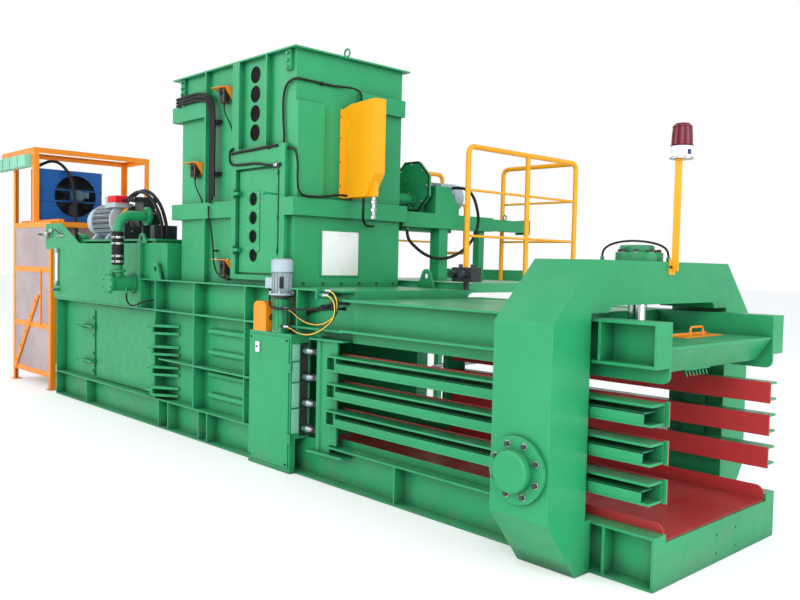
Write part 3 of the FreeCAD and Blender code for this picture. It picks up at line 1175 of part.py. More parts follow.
def pipe_sleeve():
    """Rubber sleeve between the strainer's neck and the bend, with four band clamps."""
    x, y = x_strainer, STRAINER_Y
    z0 = STRAINER_Z + 168
    outer = SUCTION_RADIUS + 9
    profile = [(z0, outer)]
    for z in (z0 + 30, z0 + 80, z0 + 194, z0 + 250):
        profile += [(z, outer), (z, outer + 3), (z + 20, outer + 3), (z + 20, outer)]
    profile += [(z0 + 302, outer)]
    sleeve = turned(profile, x, y, 0, "z")
    return sleeve.cut(rod(x, y, z0 - 1, "z", 304, SUCTION_RADIUS))


# ---------------------------------------------------------------- cooler cage
def angle_post(x, y, z0, z1, sx, sy):
    """Angle iron with its outer corner at a point; sx and sy say which way its legs run."""
    a, t = ANGLE, ANGLE_T
    legs = [(x, y), (x + sx * a, y), (x + sx * a, y + sy * t), (x + sx * t, y + sy * t),
            (x + sx * t, y + sy * a), (x, y + sy * a)]
    return prism(legs, "z", z0, z1)


def ring(x0, x1, y0, y1, z, height=ANGLE):
    """A rectangle of angle iron lying round a frame at one height."""
    upright = box(x0, x1, y0, y1, z - height, z).cut(
        box(x0 + ANGLE_T, x1 - ANGLE_T, y0 + ANGLE_T, y1 - ANGLE_T, z - height - 1, z + 1))
    flat = box(x0, x1, y0, y1, z - ANGLE_T, z).cut(
        box(x0 + height, x1 - height, y0 + height, y1 - height, z - ANGLE_T - 1, z + 1))
    return upright.fuse(flat)


def cage_frame():
    """Frame of the guard cage: uprights, rails and the upper frame round the cooler."""
    x0, x1, xu, y0, y1 = x_cage0, x_cage1, x_cage_upper, CAGE_Y0, CAGE_Y1
    pieces = []
    for y, sy in ((y0, 1), (y1, -1)):
        pieces.append(angle_post(x0, y, 8, CAGE_TOP, 1, sy))
        pieces.append(angle_post(xu, y, CAGE_MID, CAGE_TOP, -1, sy))
        pieces.append(angle_post(x1, y, 8, CAGE_MID, -1, sy))
        for x in (x0 - 20, x1 - ANGLE - 20):
            lo = min(y, y + sy * (ANGLE + 20)) - (20 if sy > 0 else 0)
            pieces.append(box(x, x + ANGLE + 40, lo, lo + ANGLE + 40, 0, 8))
    pieces.append(ring(x0, xu, y0, y1, CAGE_TOP))
    for z in (CAGE_MID, 1340 + ANGLE / 2, 700 + ANGLE / 2, 165 + ANGLE / 2):
        pieces.append(ring(x0, x1, y0, y1, z))
    # top rail runs on past the post and carries the row of terminal boxes
    bx = x_cage0 - TERMINAL_REACH
    pieces.append(box(bx - 10, x0, y0, y0 + ANGLE_T, CAGE_TOP - ANGLE, CAGE_TOP))
    pieces.append(box(bx - 10, xu, y0, y0 + ANGLE_T, CAGE_TOP - 120, CAGE_TOP - ANGLE))
    for i in range(4):
        pieces.append(box(bx + 259 * i, bx + 259 * i + 240, y0 - 70, y0, CAGE_TOP - 227, CAGE_TOP - 80))
    # sloping tie with its bolts, and the thin upright beside it
    tie = prism([(x0 + 30, 140), (x0 + 110, 140), (x1 - 330, 1050), (x1 - 410, 1050)], "y",
                y0 - ANGLE_T - 8, y0)
    pieces.append(tie)
    for i in range(5):
        t = 0.12 + 0.2 * i
        pieces.append(rod(x0 + 70 + t * (x1 - x0 - 440), y0 - 14, 140 + 910 * t, "y", -16, 16))
    pieces.append(box(x1 - 300, x1 - 285, y0 - 10, y0, 700, 1350))
    # shelf of the cooler
    for y in (COOLER_Y0 + 10, COOLER_Y0 + COOLER_WIDTH - 70):
        pieces.append(box(x0 + 10, x1 - 10, y, y + 60, CAGE_MID, CAGE_MID + 30))
    return fuse(*pieces)


def cage_mesh():
    """Perforated sheet panels inside the lower bays, left and right of the mid rails."""
    x0, x1, y0, y1 = x_cage0 + ANGLE_T, x_cage1 - ANGLE_T, CAGE_Y0 + ANGLE_T, CAGE_Y1 - ANGLE_T
    z0, z1 = 165 + ANGLE / 2, CAGE_MID - ANGLE_T
    frame = cage_frame()
    near = box(x0, x1 - ANGLE, y0, y0 + 2, z0, z1).cut(frame)
    far = box(x0, x1 - ANGLE, y1 - 2, y1, z0, z1).cut(frame)
    left = box(x0, x0 + 2, y0 + 2 + SEAT, y1 - 2 - SEAT, z0, z1).cut(frame)
    return group(near, far, left)


COOLER_X1 = x_cage_upper - ANGLE
COOLER_Y0 = CAGE_Y0 + 80
COOLER_Z0 = CAGE_MID + 30
FAN_Y = COOLER_Y0 + COOLER_WIDTH / 2 + 50
FAN_Z = COOLER_Z0 + COOLER_HEIGHT / 2
COOLER_SOCKET = (COOLER_X1 - COOLER_DEPTH + 30, COOLER_Y0 + 60, COOLER_Z0 + COOLER_HEIGHT)


def cooler_housing():
    """Oil cooler: folded housing with the round fan opening, core behind, motor on two bars."""
    x1 = COOLER_X1
    x0 = x1 - COOLER_DEPTH
    y0, y1 = COOLER_Y0, COOLER_Y0 + COOLER_WIDTH
    z0, z1 = COOLER_Z0, COOLER_Z0 + COOLER_HEIGHT
    outer = box(x0, x1, y0, y1, z0, z1)
    hollow = box(x0 + 60, x1 - 4, y0 + 4, y1 - 4, z0 + 4, z1 - 4)
    mouth = rod(x1 - 5, FAN_Y, FAN_Z, "x", 10, FAN_RADIUS)
    shell = cut(outer, hollow, mouth)
    bars = []
    for z in (FAN_Z - 75, FAN_Z + 60):
        bars.append(box(x1, x1 + 6, y0, y1, z, z + 20))
    motor = turned([(6, 58), (20, 58), (20, 66), (104, 66), (104, 56), (124, 50)], x1, FAN_Y, FAN_Z, "x")
    collar = rod(x1 - 40, FAN_Y, FAN_Z, "x", 60, 14)
    terminal = box(x1 + 40, x1 + 110, FAN_Y + 50, FAN_Y + 120, FAN_Z - 20, FAN_Z + 50)
    plate = box(x1, x1 + 6, FAN_Y - 70, FAN_Y + 70, FAN_Z - 75, FAN_Z + 80)
    sx, sy, sz = COOLER_SOCKET
    collar_nut = turned([(0, 34), (16, 34), (16, 24), (20, 24)], sx, sy, z1, "z")
    elbow = bent_tube([(sx, sy, z1 + 2), (sx, sy, z1 + 42), (sx + 24, sy + 36, z1 + 64)], 22, 24)
    return fuse(shell, *bars, motor, collar, terminal, plate, collar_nut, elbow)


def cooler_fan():
    """Six-bladed fan; each blade is twisted to the same pitch."""
    x = COOLER_X1 - 46
    hub = tube(x - 34, FAN_Y, FAN_Z, "x", 68 - 20, 46, 14 + RUN)
    pieces = [hub]
    for i in range(6):
        blade = box(x - 12, x - 8, FAN_Y - 48, FAN_Y + 48, FAN_Z + 40, FAN_Z + FAN_RADIUS - 16)
        blade.rotate(V(x - 10, FAN_Y, FAN_Z), V(0, 0, 1), 28)
        blade.rotate(V(x, FAN_Y, FAN_Z), V(1, 0, 0), i * 60)
        pieces.append(blade)
    return fuse(*pieces)


# ---------------------------------------------------------------- far side
def platform():
    """Checkered gangway on channel joists, stood on posts behind the body."""
    x0, x1, y0, y1 = x_gangway0, x_gangway1, PLATFORM_Y0, PLATFORM_Y1
    deck = box(x0, x1, y0 - 20, y1, PLATFORM_Z - 6, PLATFORM_Z)
    kick = box(x0, x1, y1 - 6, y1, PLATFORM_Z, PLATFORM_Z + 100)
    pieces = [deck, kick]
    for y in (y0, y1 - 60):
        pieces.append(box(x0, x1, y, y + 50, PLATFORM_Z - 86, PLATFORM_Z - 6))
    for x in (x0, x1 - 60):
        pieces.append(box(x, x + 60, y0 - 20, y1, PLATFORM_Z - 76, PLATFORM_Z - 6))
        pieces.append(box(x, x + 60, y1 - 70, y1 - 10, 10, PLATFORM_Z - 76))
        pieces.append(box(x - 30, x + 90, y1 - 100, y1 + 20, 0, 10))
        bracket = prism([(wall_out + 105, PLATFORM_Z - 76), (y0 + 60, PLATFORM_Z - 76),
                         (wall_out + 105, PLATFORM_Z - 260)], "x", x + 24, x + 36)
        pieces.append(bracket.cut(box(x0 - 1, x1 + 1, 0, rib_out, 0, BODY_TOP)))
    return fuse(*pieces)


def handrail():
    """Guard rail of the gangway: bent top tubes, posts, two mid bars and the end gate's return."""
    x0, x1 = x_gangway0 + TUBE_RADIUS, x_gangway1 - 26
    y0, y1 = PLATFORM_Y0 + 10, PLATFORM_Y1 - 30
    z0 = PLATFORM_Z
    z1 = z0 + HANDRAIL_HEIGHT - TUBE_RADIUS
    r = TUBE_RADIUS
    opening = x1 - 834
    pieces = [
        bent_tube([(x1, y0, z0), (x1, y0, z1), (x1, y1, z1), (x1, y1, z0)], r, 60),
        bent_tube([(opening, y1, z0), (opening, y1, z1), (x1 - r, y1, z1)], r, 60),
        bent_tube([(x0, y0 + 200, z0), (x0, y0 + 200, z1), (x0, y1, z1), (x0, y1, z0)], r, 60),
        rod(x1, y0 + 0.52 * (y1 - y0), z0, "z", HANDRAIL_HEIGHT - TUBE_RADIUS, r),
    ]
    for z in (z0 + HANDRAIL_HEIGHT * 0.34, z0 + HANDRAIL_HEIGHT * 0.67):
        pieces.append(rod(x1, y0, z, "y", y1 - y0, BAR_RADIUS))
        pieces.append(rod(opening, y1, z, "x", x1 - opening, BAR_RADIUS))
        pieces.append(rod(x0, y0 + 200, z, "y", y1 - y0 - 200, BAR_RADIUS))
    low = bent_tube([(x0 + 330, y1, z0 + 260), (x0 + 330, y1, z0 + 750), (x0, y1, z0 + 750)], 15, 50)
    pieces.append(low)
    pieces.append(rod(x0, y1, z0 + 260, "x", 345, 15))
    return fuse(*pieces)


def drive_beam():
    """Carrier beam of the feeder drive, with end flange, legs, motor bracket and chain guard."""
    x1 = x_hopper_front
    x0 = x1 - BEAM_WIDTH
    y0 = HOPPER_HALF + BAND_DEPTH
    y1 = 2215.0
    step = 1700.0
    main = box(x0, x1, y0, step, BEAM_Z0, BEAM_Z1)
    tail = box(x0 + 12, x1 - 12, step, y1, BEAM_Z0 + 12, BEAM_Z1 - 10)
    flange = box(x0 - 8, x1 + 8, y1, y1 + 16, BEAM_Z0 - 8, BEAM_Z1 + 4)
    under = box(x0 - 90, x0 + 60, y0 + 70, 1240, BEAM_Z0 - 30, BEAM_Z0)
    eye = Part.makeTorus(24, 6, V((x0 + x1) / 2, 1950, BEAM_Z1 + 18), V(1, 0, 0))
    eye = eye.cut(box(x0, x1, 1900, 2000, BEAM_Z1 - 40, BEAM_Z1 - 11))
    pieces = [main, tail, flange, under, eye]
    pieces.append(box(x0 + 20, x0 + 130, 1020, 1125, PLATFORM_Z, BEAM_Z0))
    pieces.append(box(x0 + 40, x0 + 110, 1555, 1625, PLATFORM_Z, BEAM_Z0))
    pieces.append(box(x0 - 10, x0 + 160, 990, 1155, PLATFORM_Z, PLATFORM_Z + 12))
    # gusseted bracket of the motor
    pieces.append(prism([(960, BEAM_Z1), (1240, BEAM_Z1), (1240, BEAM_Z1 + 70), (1110, BEAM_Z1 + 235),
                         (960, BEAM_Z1 + 235)], "x", x1 - 14, x1 - 2))
    pieces.append(box(x0 - 150, x1 - 2, 948, 960, BEAM_Z1, BEAM_Z1 + 235))
    pieces.append(box(x0 - 150, x1 - 14, 960, 1240, BEAM_Z1, BEAM_Z1 + 12))
    pieces.append(rod(x1 - 45, 660, BEAM_Z0, "z", -25, 17))
    beam = fuse(*pieces)
    # octagonal plate over the chain, and the bearing tube to the hopper wall
    r = 222.0
    octagon = []
    for i in range(8):
        a = math.radians(22.5 + 45 * i)
        octagon.append((x_feeder + r * math.cos(a), 2160 + r * math.sin(a)))
    plate = prism(octagon, "y", 850, 885)
    link = box(x_feeder - 60, x_feeder + 60, 885, 950, BEAM_Z1, 2150)
    hub = turned([(y0, 45), (828, 45), (828, 66), (850, 66)], x_feeder, 0, FEEDER_Z, "y")
    small = rod(x_feeder - 70, 850, 2210, "y", -16, 26)
    guard = fuse(plate, hub, small, link)
    guard = guard.cut(rod(x_feeder, y0 - 1, FEEDER_Z, "y", 340, FEEDER_SHAFT_RADIUS + RUN))
    return fuse(beam, guard)


def drive_motor():
    """Flange motor of the feeder, axis across the machine, with its terminal box."""
    x = x_hopper_front - BEAM_WIDTH - 40
    z = BEAM_Z1 + 165
    body = turned([(960, 100), (976, 100), (976, 96), (1010, 96), (1010, 108), (1250, 108), (1250, 122),
                   (1370, 122), (1392, 104)], x, 0, z, "y")
    pieces = [body]
    for i in range(18):
        fin = box(x - 3, x + 3, 1016, 1244, z + 100, z + 121)
        fin.rotate(V(x, 0, z), V(0, 1, 0), i * 20)
        pieces.append(fin)
    pieces.append(box(x + 90, x + 168, 1030, 1190, z + 5, z + 100))
    pieces.append(rod(*FEEDER_GLAND, "x", 22, 16))
    foot = prism([(x - 100, BEAM_Z1 + 12), (x + 100, BEAM_Z1 + 12), (x + 60, z - 80), (x - 60, z - 80)],
                 "y", 1060, 1200)
    pieces.append(foot)
    return fuse(*pieces)


def agitator():
    """Feeder shaft across the hopper, with its staggered fingers."""
    y0 = -HOPPER_HALF + HOPPER_WALL + 14
    pieces = [rod(x_feeder, y0, FEEDER_Z, "y", 900 - y0, FEEDER_SHAFT_RADIUS)]
    for i in range(6):
        y = -400 + 160 * i
        finger = box(x_feeder - 12, x_feeder + 12, y - 12, y + 12, FEEDER_Z - 150, FEEDER_Z + 150)
        finger.rotate(V(x_feeder, y, FEEDER_Z), V(0, 1, 0), i * 60)
        pieces.append(finger)
    return fuse(*pieces)


# ---------------------------------------------------------------- doors
def access_door():
    """Side door of the rear part: stiffened plate on four hinge arms that reach round the rib."""
    y = -wall_out - SEAT
    panel = box(ACCESS_X0, ACCESS_X1, y - 12, y, ACCESS_Z0, ACCESS_Z1)
    pieces = [panel]
    for z in ACCESS_HINGES:
        _, sleeve = knuckles(ACCESS_PIN_X, ACCESS_PIN_Y, z, 12, 44)
        pieces.append(sleeve)
        arm = prism([(ACCESS_PIN_X - 16, ACCESS_PIN_Y - 14), (ACCESS_PIN_X - 16, ACCESS_PIN_Y + 18),
                     (ACCESS_PIN_X - 36, ACCESS_PIN_Y + 18), (ACCESS_PIN_X - 74, y - 12),
                     (ACCESS_PIN_X - 235, y - 12), (ACCESS_PIN_X - 95, ACCESS_PIN_Y - 14)], "z", z - 10, z + 10)
        pieces.append(arm)
    return fuse(*pieces)


# ---------------------------------------------------------------- hoses and wiring
def clipped(name, points, diameter, clips, out):
    """A cable held to a wall by saddles; each clip is a corner of the block that reaches the wall."""
    pieces = [hose(name, points, diameter)]
    for x, y, z in clips:
        wide = diameter * 0.9
        if out == "y":
            pieces.append(box(x - wide, x + wide, y, -HOPPER_HALF, z - 7, z + 7))
        else:
            pieces.append(box(x_hopper_front, x, y - 7, y + 7, z - wide, z + wide))
    return fuse(*pieces)


def hopper_wiring():
    """Hoses and cables that are clipped to the hopper's walls along their whole length."""
    y = -HOPPER_HALF - BAND_DEPTH - 16
    left, mid, top = x_shell_rear + 4, x_mid_post + 82, HOPPER_TOP
    drop = top - 310 - 2330
    solids = []
    # the three hoses lie 27 mm apart
    for i in range(3):
        s = i * 27
        solids.append(hose("hopper hose", [
            (left, y, top - 185 - s), (left + 0.365 * (mid - left), y, top - 176 - s),
            (left + 0.731 * (mid - left), y, top - 178 - s), (mid, y, top - 205 - s),
            (mid + 92 - s, y, top - 310 - s), (mid + 104 - s, y, 2330 + 0.561 * drop),
            (mid + 100 - s, y, 2330), (mid + 102 - s, y, 2150), (mid + 100 - s, y, 2010 - s)], 24.0))
    saddle = [box(mid + 10, mid + 130, y + 9, -HOPPER_HALF, z, z + 30) for z in (2330 + 0.6585 * drop, 2180)]
    band = z_upper_band + BAND_HEIGHT
    saddle.append(box(left + 20, left + 50, y + 9, -HOPPER_HALF - BAND_DEPTH, band - 10, band))
    bundle = fuse(*solids, *saddle)
    lower = clipped("sensor cable", [
        (x_post - 330, y + 4, 1935), (x_post - 310, y - 6, 1850), (x_post - 286, y + 8, 1740),
        (x_post - 274, y + 20, 1600), (x_post - 271, y + 22, 1480), (x_post - 226, y + 24, 1392),
        (x_post - 136, y + 24, 1352), (x_post - 46, y + 24, 1342)], 14.0,
        [(x_post - 274, y + 21, 1570), (x_post - 66, y + 24, 1344)], "y")
    return group(bundle, lower, door_cable(), *front_cables())


def door_cable():
    """Cable along the top of the door frame, on its front face."""
    x = x_post + DOOR_BORDER + DOOR_REVEAL
    z = z_frame_top - 18
    y = -HOPPER_HALF - BAND_DEPTH - 10.3
    cable = hose("door cable", [
        (x - 76, y, z - 8), (x + 100, y, z - 2), (x + 250, y, z), (x + 400, y, z + 5),
        (x + 560, y, z + 6)], 20.0)
    saddles = [box(x + at, x + at + 24, y + 5, -HOPPER_HALF - BAND_DEPTH, z - 14, z + 14) for at in (60, 430)]
    return fuse(cable, *saddles)


def front_cables():
    """Cable up the hopper's corner and round to the flap guard's gland, and the one below it."""
    x = x_hopper_front
    up = above_door
    upper = clipped("front cable, upper", [
        (x - 119, -541, up(0.0)), (x - 119, -541, up(0.1)), (x - 135, -541, up(0.289)),
        (x - 137, -541, up(0.463)), (x - 121, -541, up(0.573)), (x - 77, -543, up(0.64)),
        (x + 27, -551, up(0.666)), (x + 17, -440, up(0.669)), (x + 17, -310, up(0.665)),
        (x + 17, -190, up(0.662)), (x + 25, -100, up(0.672)), (x + 65, -30, up(0.664)),
        (x + 115, 0, up(0.611)), (x + 115, 0, up(0.499) + 15)], 16.0, [(x + 17, -300, up(0.665))], "x")
    z = z_frame_top
    lower = hose("front cable, lower", [
        (x - 62, -546, z - 35), (x - 5, -546, z - 35), (x + 45, -546, z - 74), (x + 59, -541, z - 155),
        (x + 59, -543, z - 260), (x + 59, -536, z - 340), (x + 59, -500, z - 380), (x + 59, -415, z - 386),
        (x + 59, -330, z - 382), (x + 59, -240, z - 370), (x + 59, -170, z - 356),
        (x + 59, -78, z - 356)], 16.0)
    saddle = box(x + 30, x + 59, -430, -416, LOWER_BAND + BAND_HEIGHT, z - 386)
    return upper, fuse(lower, saddle)


def knotter_hoses():
    """Two striped air hoses in a bow from the gearbox to the bracket, and the motor's cable."""
    x = KNOT_MOTOR_X
    near = KNOT_MOTOR_Y - 34
    upper = hose("knotter hose, upper", [
        (x + 88, near, HOSE_STARTS[0]), (x + 150, near, HOSE_STARTS[0]), (x + 240, near - 6, 1120),
        (x + 335, near - 14, 1088), (x + 445, near - 20, 1073), (x + 575, near - 24, 1085),
        (x + 685, near - 26, 1140), (x + 718, near - 27, 1199), (x + 707, near - 28, 1264),
        (x + 656, near - 28, HOSE_ENDS[0][1]), (x + 590, near - 28, HOSE_ENDS[0][1])], 16.0)
    lower = hose("knotter hose, lower", [
        (x + 88, near, HOSE_STARTS[1]), (x + 155, near, HOSE_STARTS[1]), (x + 240, near - 16, 1012),
        (x + 345, near - 30, 1000), (x + 465, near - 42, 1008), (x + 584, near - 48, 1049),
        (x + 688, near - 50, 1109), (x + 723, near - 50, 1170), (x + 711, near - 50, 1236),
        (x + 660, near - 50, HOSE_ENDS[1][1]), (x + 590, near - 50, HOSE_ENDS[1][1])], 16.0)
    cable = hose("knotter motor cable", [
        (x - 104, near + 4, 1302), (x - 104, near + 4, 1246), (x - 88, near - 14, 1196),
        (x - 30, near - 38, 1166), (x + 60, near - 46, 1158), (x + 170, near - 44, 1164),
        (x + 290, near - 42, 1168), (x + 400, near - 36, 1174), (x + 500, near - 16, 1179),
        (x + 570, near + 34, 1182), (x + 592, near + 84, 1185), (x + 592, -wall_out, 1185)], 16.0)
    return group(upper, lower, cable)


def drive_hose():
    """Cable loop that hangs from the feeder motor and comes up under its beam."""
    x = x_hopper_front
    return hose("drive hose", [
        (x, *FEEDER_GLAND[1:]), (x + 75, *FEEDER_GLAND[1:]), (x + 130, 1185, 2148), (x + 143, 1262, 2100),
        (x + 127, 1345, 1965), (x + 121, 1362, 1855), (x + 113, 1325, 1745), (x + 95, 1235, 1640),
        (x + 70, 1100, 1565), (x + 40, 955, 1540), (x + 10, 820, 1575), (x - 23, 718, 1650),
        (x - 45, 660, 1716), (x - 45, 660, BEAM_Z0 - 25)], 26.0)


def beacon_cable():
    """The lamp's cable, in a bow over the top cylinder between two sockets on the frame."""
    z = FRAME_HEIGHT
    return hose("lamp cable", [
        (*LAMP_SOCKETS[0], z + 24), (*LAMP_SOCKETS[0], z + 54), (138, 8, z + 86), (86, -42, z + 106),
        (14, -98, z + 112), (-58, -122, z + 104), (-116, -134, z + 84), (*LAMP_SOCKETS[1], z + 54),
        (*LAMP_SOCKETS[1], z + 24)], 12.0)


def power_hoses():
    """Free hoses of the power unit and of the flap drive."""
    cx, cy, cz = COOLER_SOCKET
    end = x_rear - TANK_OVERHANG - 40
    low = RETURN_SOCKET[0]
    cooler = hose("cooler hose", [
        (cx + 24, cy + 36, cz + 64), (cx + 60, cy + 90, cz + 97), (cx + 116, cy + 138, cz + 110),
        (cx + 196, cy + 188, cz + 84), (cx + 274, cy + 234, cz + 10), (cx + 336, cy + 268, cz - 98),
        (cx + 374, cy + 284, cz - 230), (cx + 392, cy + 292, cz - 380), (cx + 396, cy + 298, cz - 540),
        (cx + 412, cy + 302, cz - 680), (cx + 450, cy + 298, cz - 806), (cx + 524, cy + 295, cz - 912),
        (end - 240, low, RETURN_SOCKET[1] + 24), (end - 112, low, RETURN_SOCKET[1]),
        (end, *RETURN_SOCKET)], 36.0)
    bx, by = x_motor + 350, MOTOR_Y - 70
    top = TANK_TOP + PUMP_BASE
    cables = []
    for i, lift in ((0, 0.0), (1, 14.0)):
        y = by + 44 * i
        cables.append(hose("motor cable", [
            (bx, y, 2060), (bx + 90, y, 2060), (bx + 200, y, 2110 + lift), (bx + 330, y, 2134 + lift),
            (bx + 460, y, 2120 + lift), (bx + 600, y, 2058 + lift), (bx + 720, y, 1962 + lift),
            (bx + 800, y, 1850), (bx + 828, y, 1760), (bx + 828, y, top)], 32.0))
    leak = hose("leak-oil hose", [
        (x_strainer + 52, STRAINER_Y + 60, STRAINER_Z - 90), (x_strainer + 52, STRAINER_Y + 60, 1118),
        (x_strainer + 100, STRAINER_Y + 60, 1074), (x_strainer + 180, STRAINER_Y + 62, 1062),
        (x_strainer + 270, STRAINER_Y + 60, 1078), (x_strainer + 350, STRAINER_Y + 62, 1102),
        (x_strainer + 410, -rib_out - 45, 1120), (x_strainer + 426, -rib_out + 1, 1128)], 16.0)
    x = x_hopper_front
    flap = hose("flap hose", [
        (x + 185, -20, 1985), (x + 181, -16, 1900), (x + 153, 4, 1825), (x + 115, 60, 1790),
        (x + 79, 130, 1780), (x + 53, 200, 1786)], 20.0)
    return group(cooler, *cables, leak, flap)


# ---------------------------------------------------------------- all pieces
def all_nodes():
    """Every node's shape by its name."""
    nodes = {
        "base_frame": base_frame(),
        "wall_near": near_wall(),
        "wall_far": far_wall(),
        "press_roof": press_roof(),
        "exit_floor": exit_floor(),
        "main_cylinder": main_cylinder(),
        "main_ram": main_ram(),
        "ram_rod": ram_rod(),
        "hopper_shell": hopper_shell(),
        "hopper_door": hopper_door(),
        "latch_rod": latch_rod(),
        "light_sensors": light_sensors(),
        "flap_guard": flap_guard(),
        "lifting_lugs": lifting_lugs(),
        "knotter_cabinet": knotter_cabinet(),
        "cabinet_door": cabinet_door(),
        "knotter_gearbox": knotter_gearbox(),
        "knotter_motor": knotter_motor(),
        "chain_guard": chain_guard(),
        "needle_carriage": needle_carriage(),
        "tension_frame": tension_frame(),
        "clamp_cylinders": clamp_cylinders(),
        "clamp_bolts": clamp_bolts(),
        "side_rod_near": far_side(side_rod()),
        "side_rod_far": side_rod(),
        "top_rod": top_rod(),
        "side_gate_near": far_side(side_gate()),
        "side_gate_far": side_gate(),
        "gate_liners_near": far_side(gate_liners()),
        "gate_liners_far": gate_liners(),
        "top_platen": top_platen(),
        "platen_hatch": platen_hatch(),
        "beacon_post": beacon_post(),
        "beacon_dome": beacon_dome(),
        "beacon_rotor": beacon_rotor(),
        "oil_tank": oil_tank(),
        "pump_motor": pump_motor(),
        "coupling_guard": coupling_guard(),
        "pump_block": pump_block(),
        "suction_pipe": suction_pipe(),
        "pipe_sleeve": pipe_sleeve(),
        "cage_frame": cage_frame(),
        "cage_mesh": cage_mesh(),
        "cooler_housing": cooler_housing(),
        "cooler_fan": cooler_fan(),
        "platform": platform(),
        "handrail": handrail(),
        "drive_beam": drive_beam(),
        "drive_motor": drive_motor(),
        "agitator": agitator(),
        "access_door": access_door(),
        "hopper_wiring": hopper_wiring(),
        "knotter_hoses": knotter_hoses(),
        "drive_hose": drive_hose(),
        "beacon_cable": beacon_cable(),
        "power_hoses": power_hoses(),
    }
    for i, z in enumerate(TWIST_HEIGHTS):
        nodes[f"twister_{i + 1}"] = twister(z)
    return nodes


def main():
    """Write one STEP file for each node."""
    os.makedirs("parts", exist_ok=True)
    for name, shape in all_nodes().items():
        shape.exportStep(f"parts/{name}.step")


main()
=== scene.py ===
"""Looks of the channel baler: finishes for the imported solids, and the small pieces on them."""

import logging
import math
from dataclasses import dataclass
from enum import Enum
from typing import ClassVar

import bmesh
import bpy
from bmesh.types import BMEdge, BMesh, BMVert
from bpy.types import Material, Node, NodeSocket, NodeTree
from mathutils import Matrix, Vector


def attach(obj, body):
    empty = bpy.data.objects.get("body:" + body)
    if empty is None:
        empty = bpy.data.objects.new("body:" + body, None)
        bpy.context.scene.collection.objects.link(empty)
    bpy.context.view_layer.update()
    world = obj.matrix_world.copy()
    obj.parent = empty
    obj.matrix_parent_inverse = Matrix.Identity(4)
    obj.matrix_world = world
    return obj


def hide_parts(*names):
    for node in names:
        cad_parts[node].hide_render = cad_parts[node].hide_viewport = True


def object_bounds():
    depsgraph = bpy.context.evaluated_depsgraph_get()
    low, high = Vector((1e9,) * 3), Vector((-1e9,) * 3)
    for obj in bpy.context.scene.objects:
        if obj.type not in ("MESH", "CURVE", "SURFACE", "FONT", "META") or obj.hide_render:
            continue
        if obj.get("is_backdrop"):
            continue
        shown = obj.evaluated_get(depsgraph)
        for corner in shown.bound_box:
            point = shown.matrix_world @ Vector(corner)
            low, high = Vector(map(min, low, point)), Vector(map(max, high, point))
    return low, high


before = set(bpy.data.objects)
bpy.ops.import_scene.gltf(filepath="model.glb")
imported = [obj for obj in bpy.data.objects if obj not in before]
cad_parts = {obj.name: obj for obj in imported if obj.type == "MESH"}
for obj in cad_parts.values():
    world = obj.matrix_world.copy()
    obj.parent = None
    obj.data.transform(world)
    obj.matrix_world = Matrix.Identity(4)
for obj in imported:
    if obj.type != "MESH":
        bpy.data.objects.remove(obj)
log = logging.getLogger("baler")

Point = tuple[float, float, float]
Colour = tuple[float, float, float]
Value = float | tuple[float, ...]


# ---------------------------------------------------------------- finishes
class Kind(Enum):
    """How a finish is built up."""

    PAINT = "paint"
    METAL = "metal"
    RUBBER = "rubber"
    CAST = "cast"
    CLEAR = "clear"
    HOLLOW = "hollow"


def add_node(tree: NodeTree, kind: str, values: dict[str | int, Value] | None = None,
             operation: str = "") -> Node:
    """Add a shader node to a tree.

    Args:
        tree: The node tree of a material or of the sky.
        kind: The node's type without its common prefix.
        values: What its inputs hold where nothing is linked, by their name or number.
        operation: What a maths node does.

    Returns:
        The new node.
    """
    node = tree.nodes.new(f"ShaderNode{kind}")
    if operation:
        node.operation = operation
    for key, value in (values or {}).items():
        node.inputs[key].default_value = value
    return node


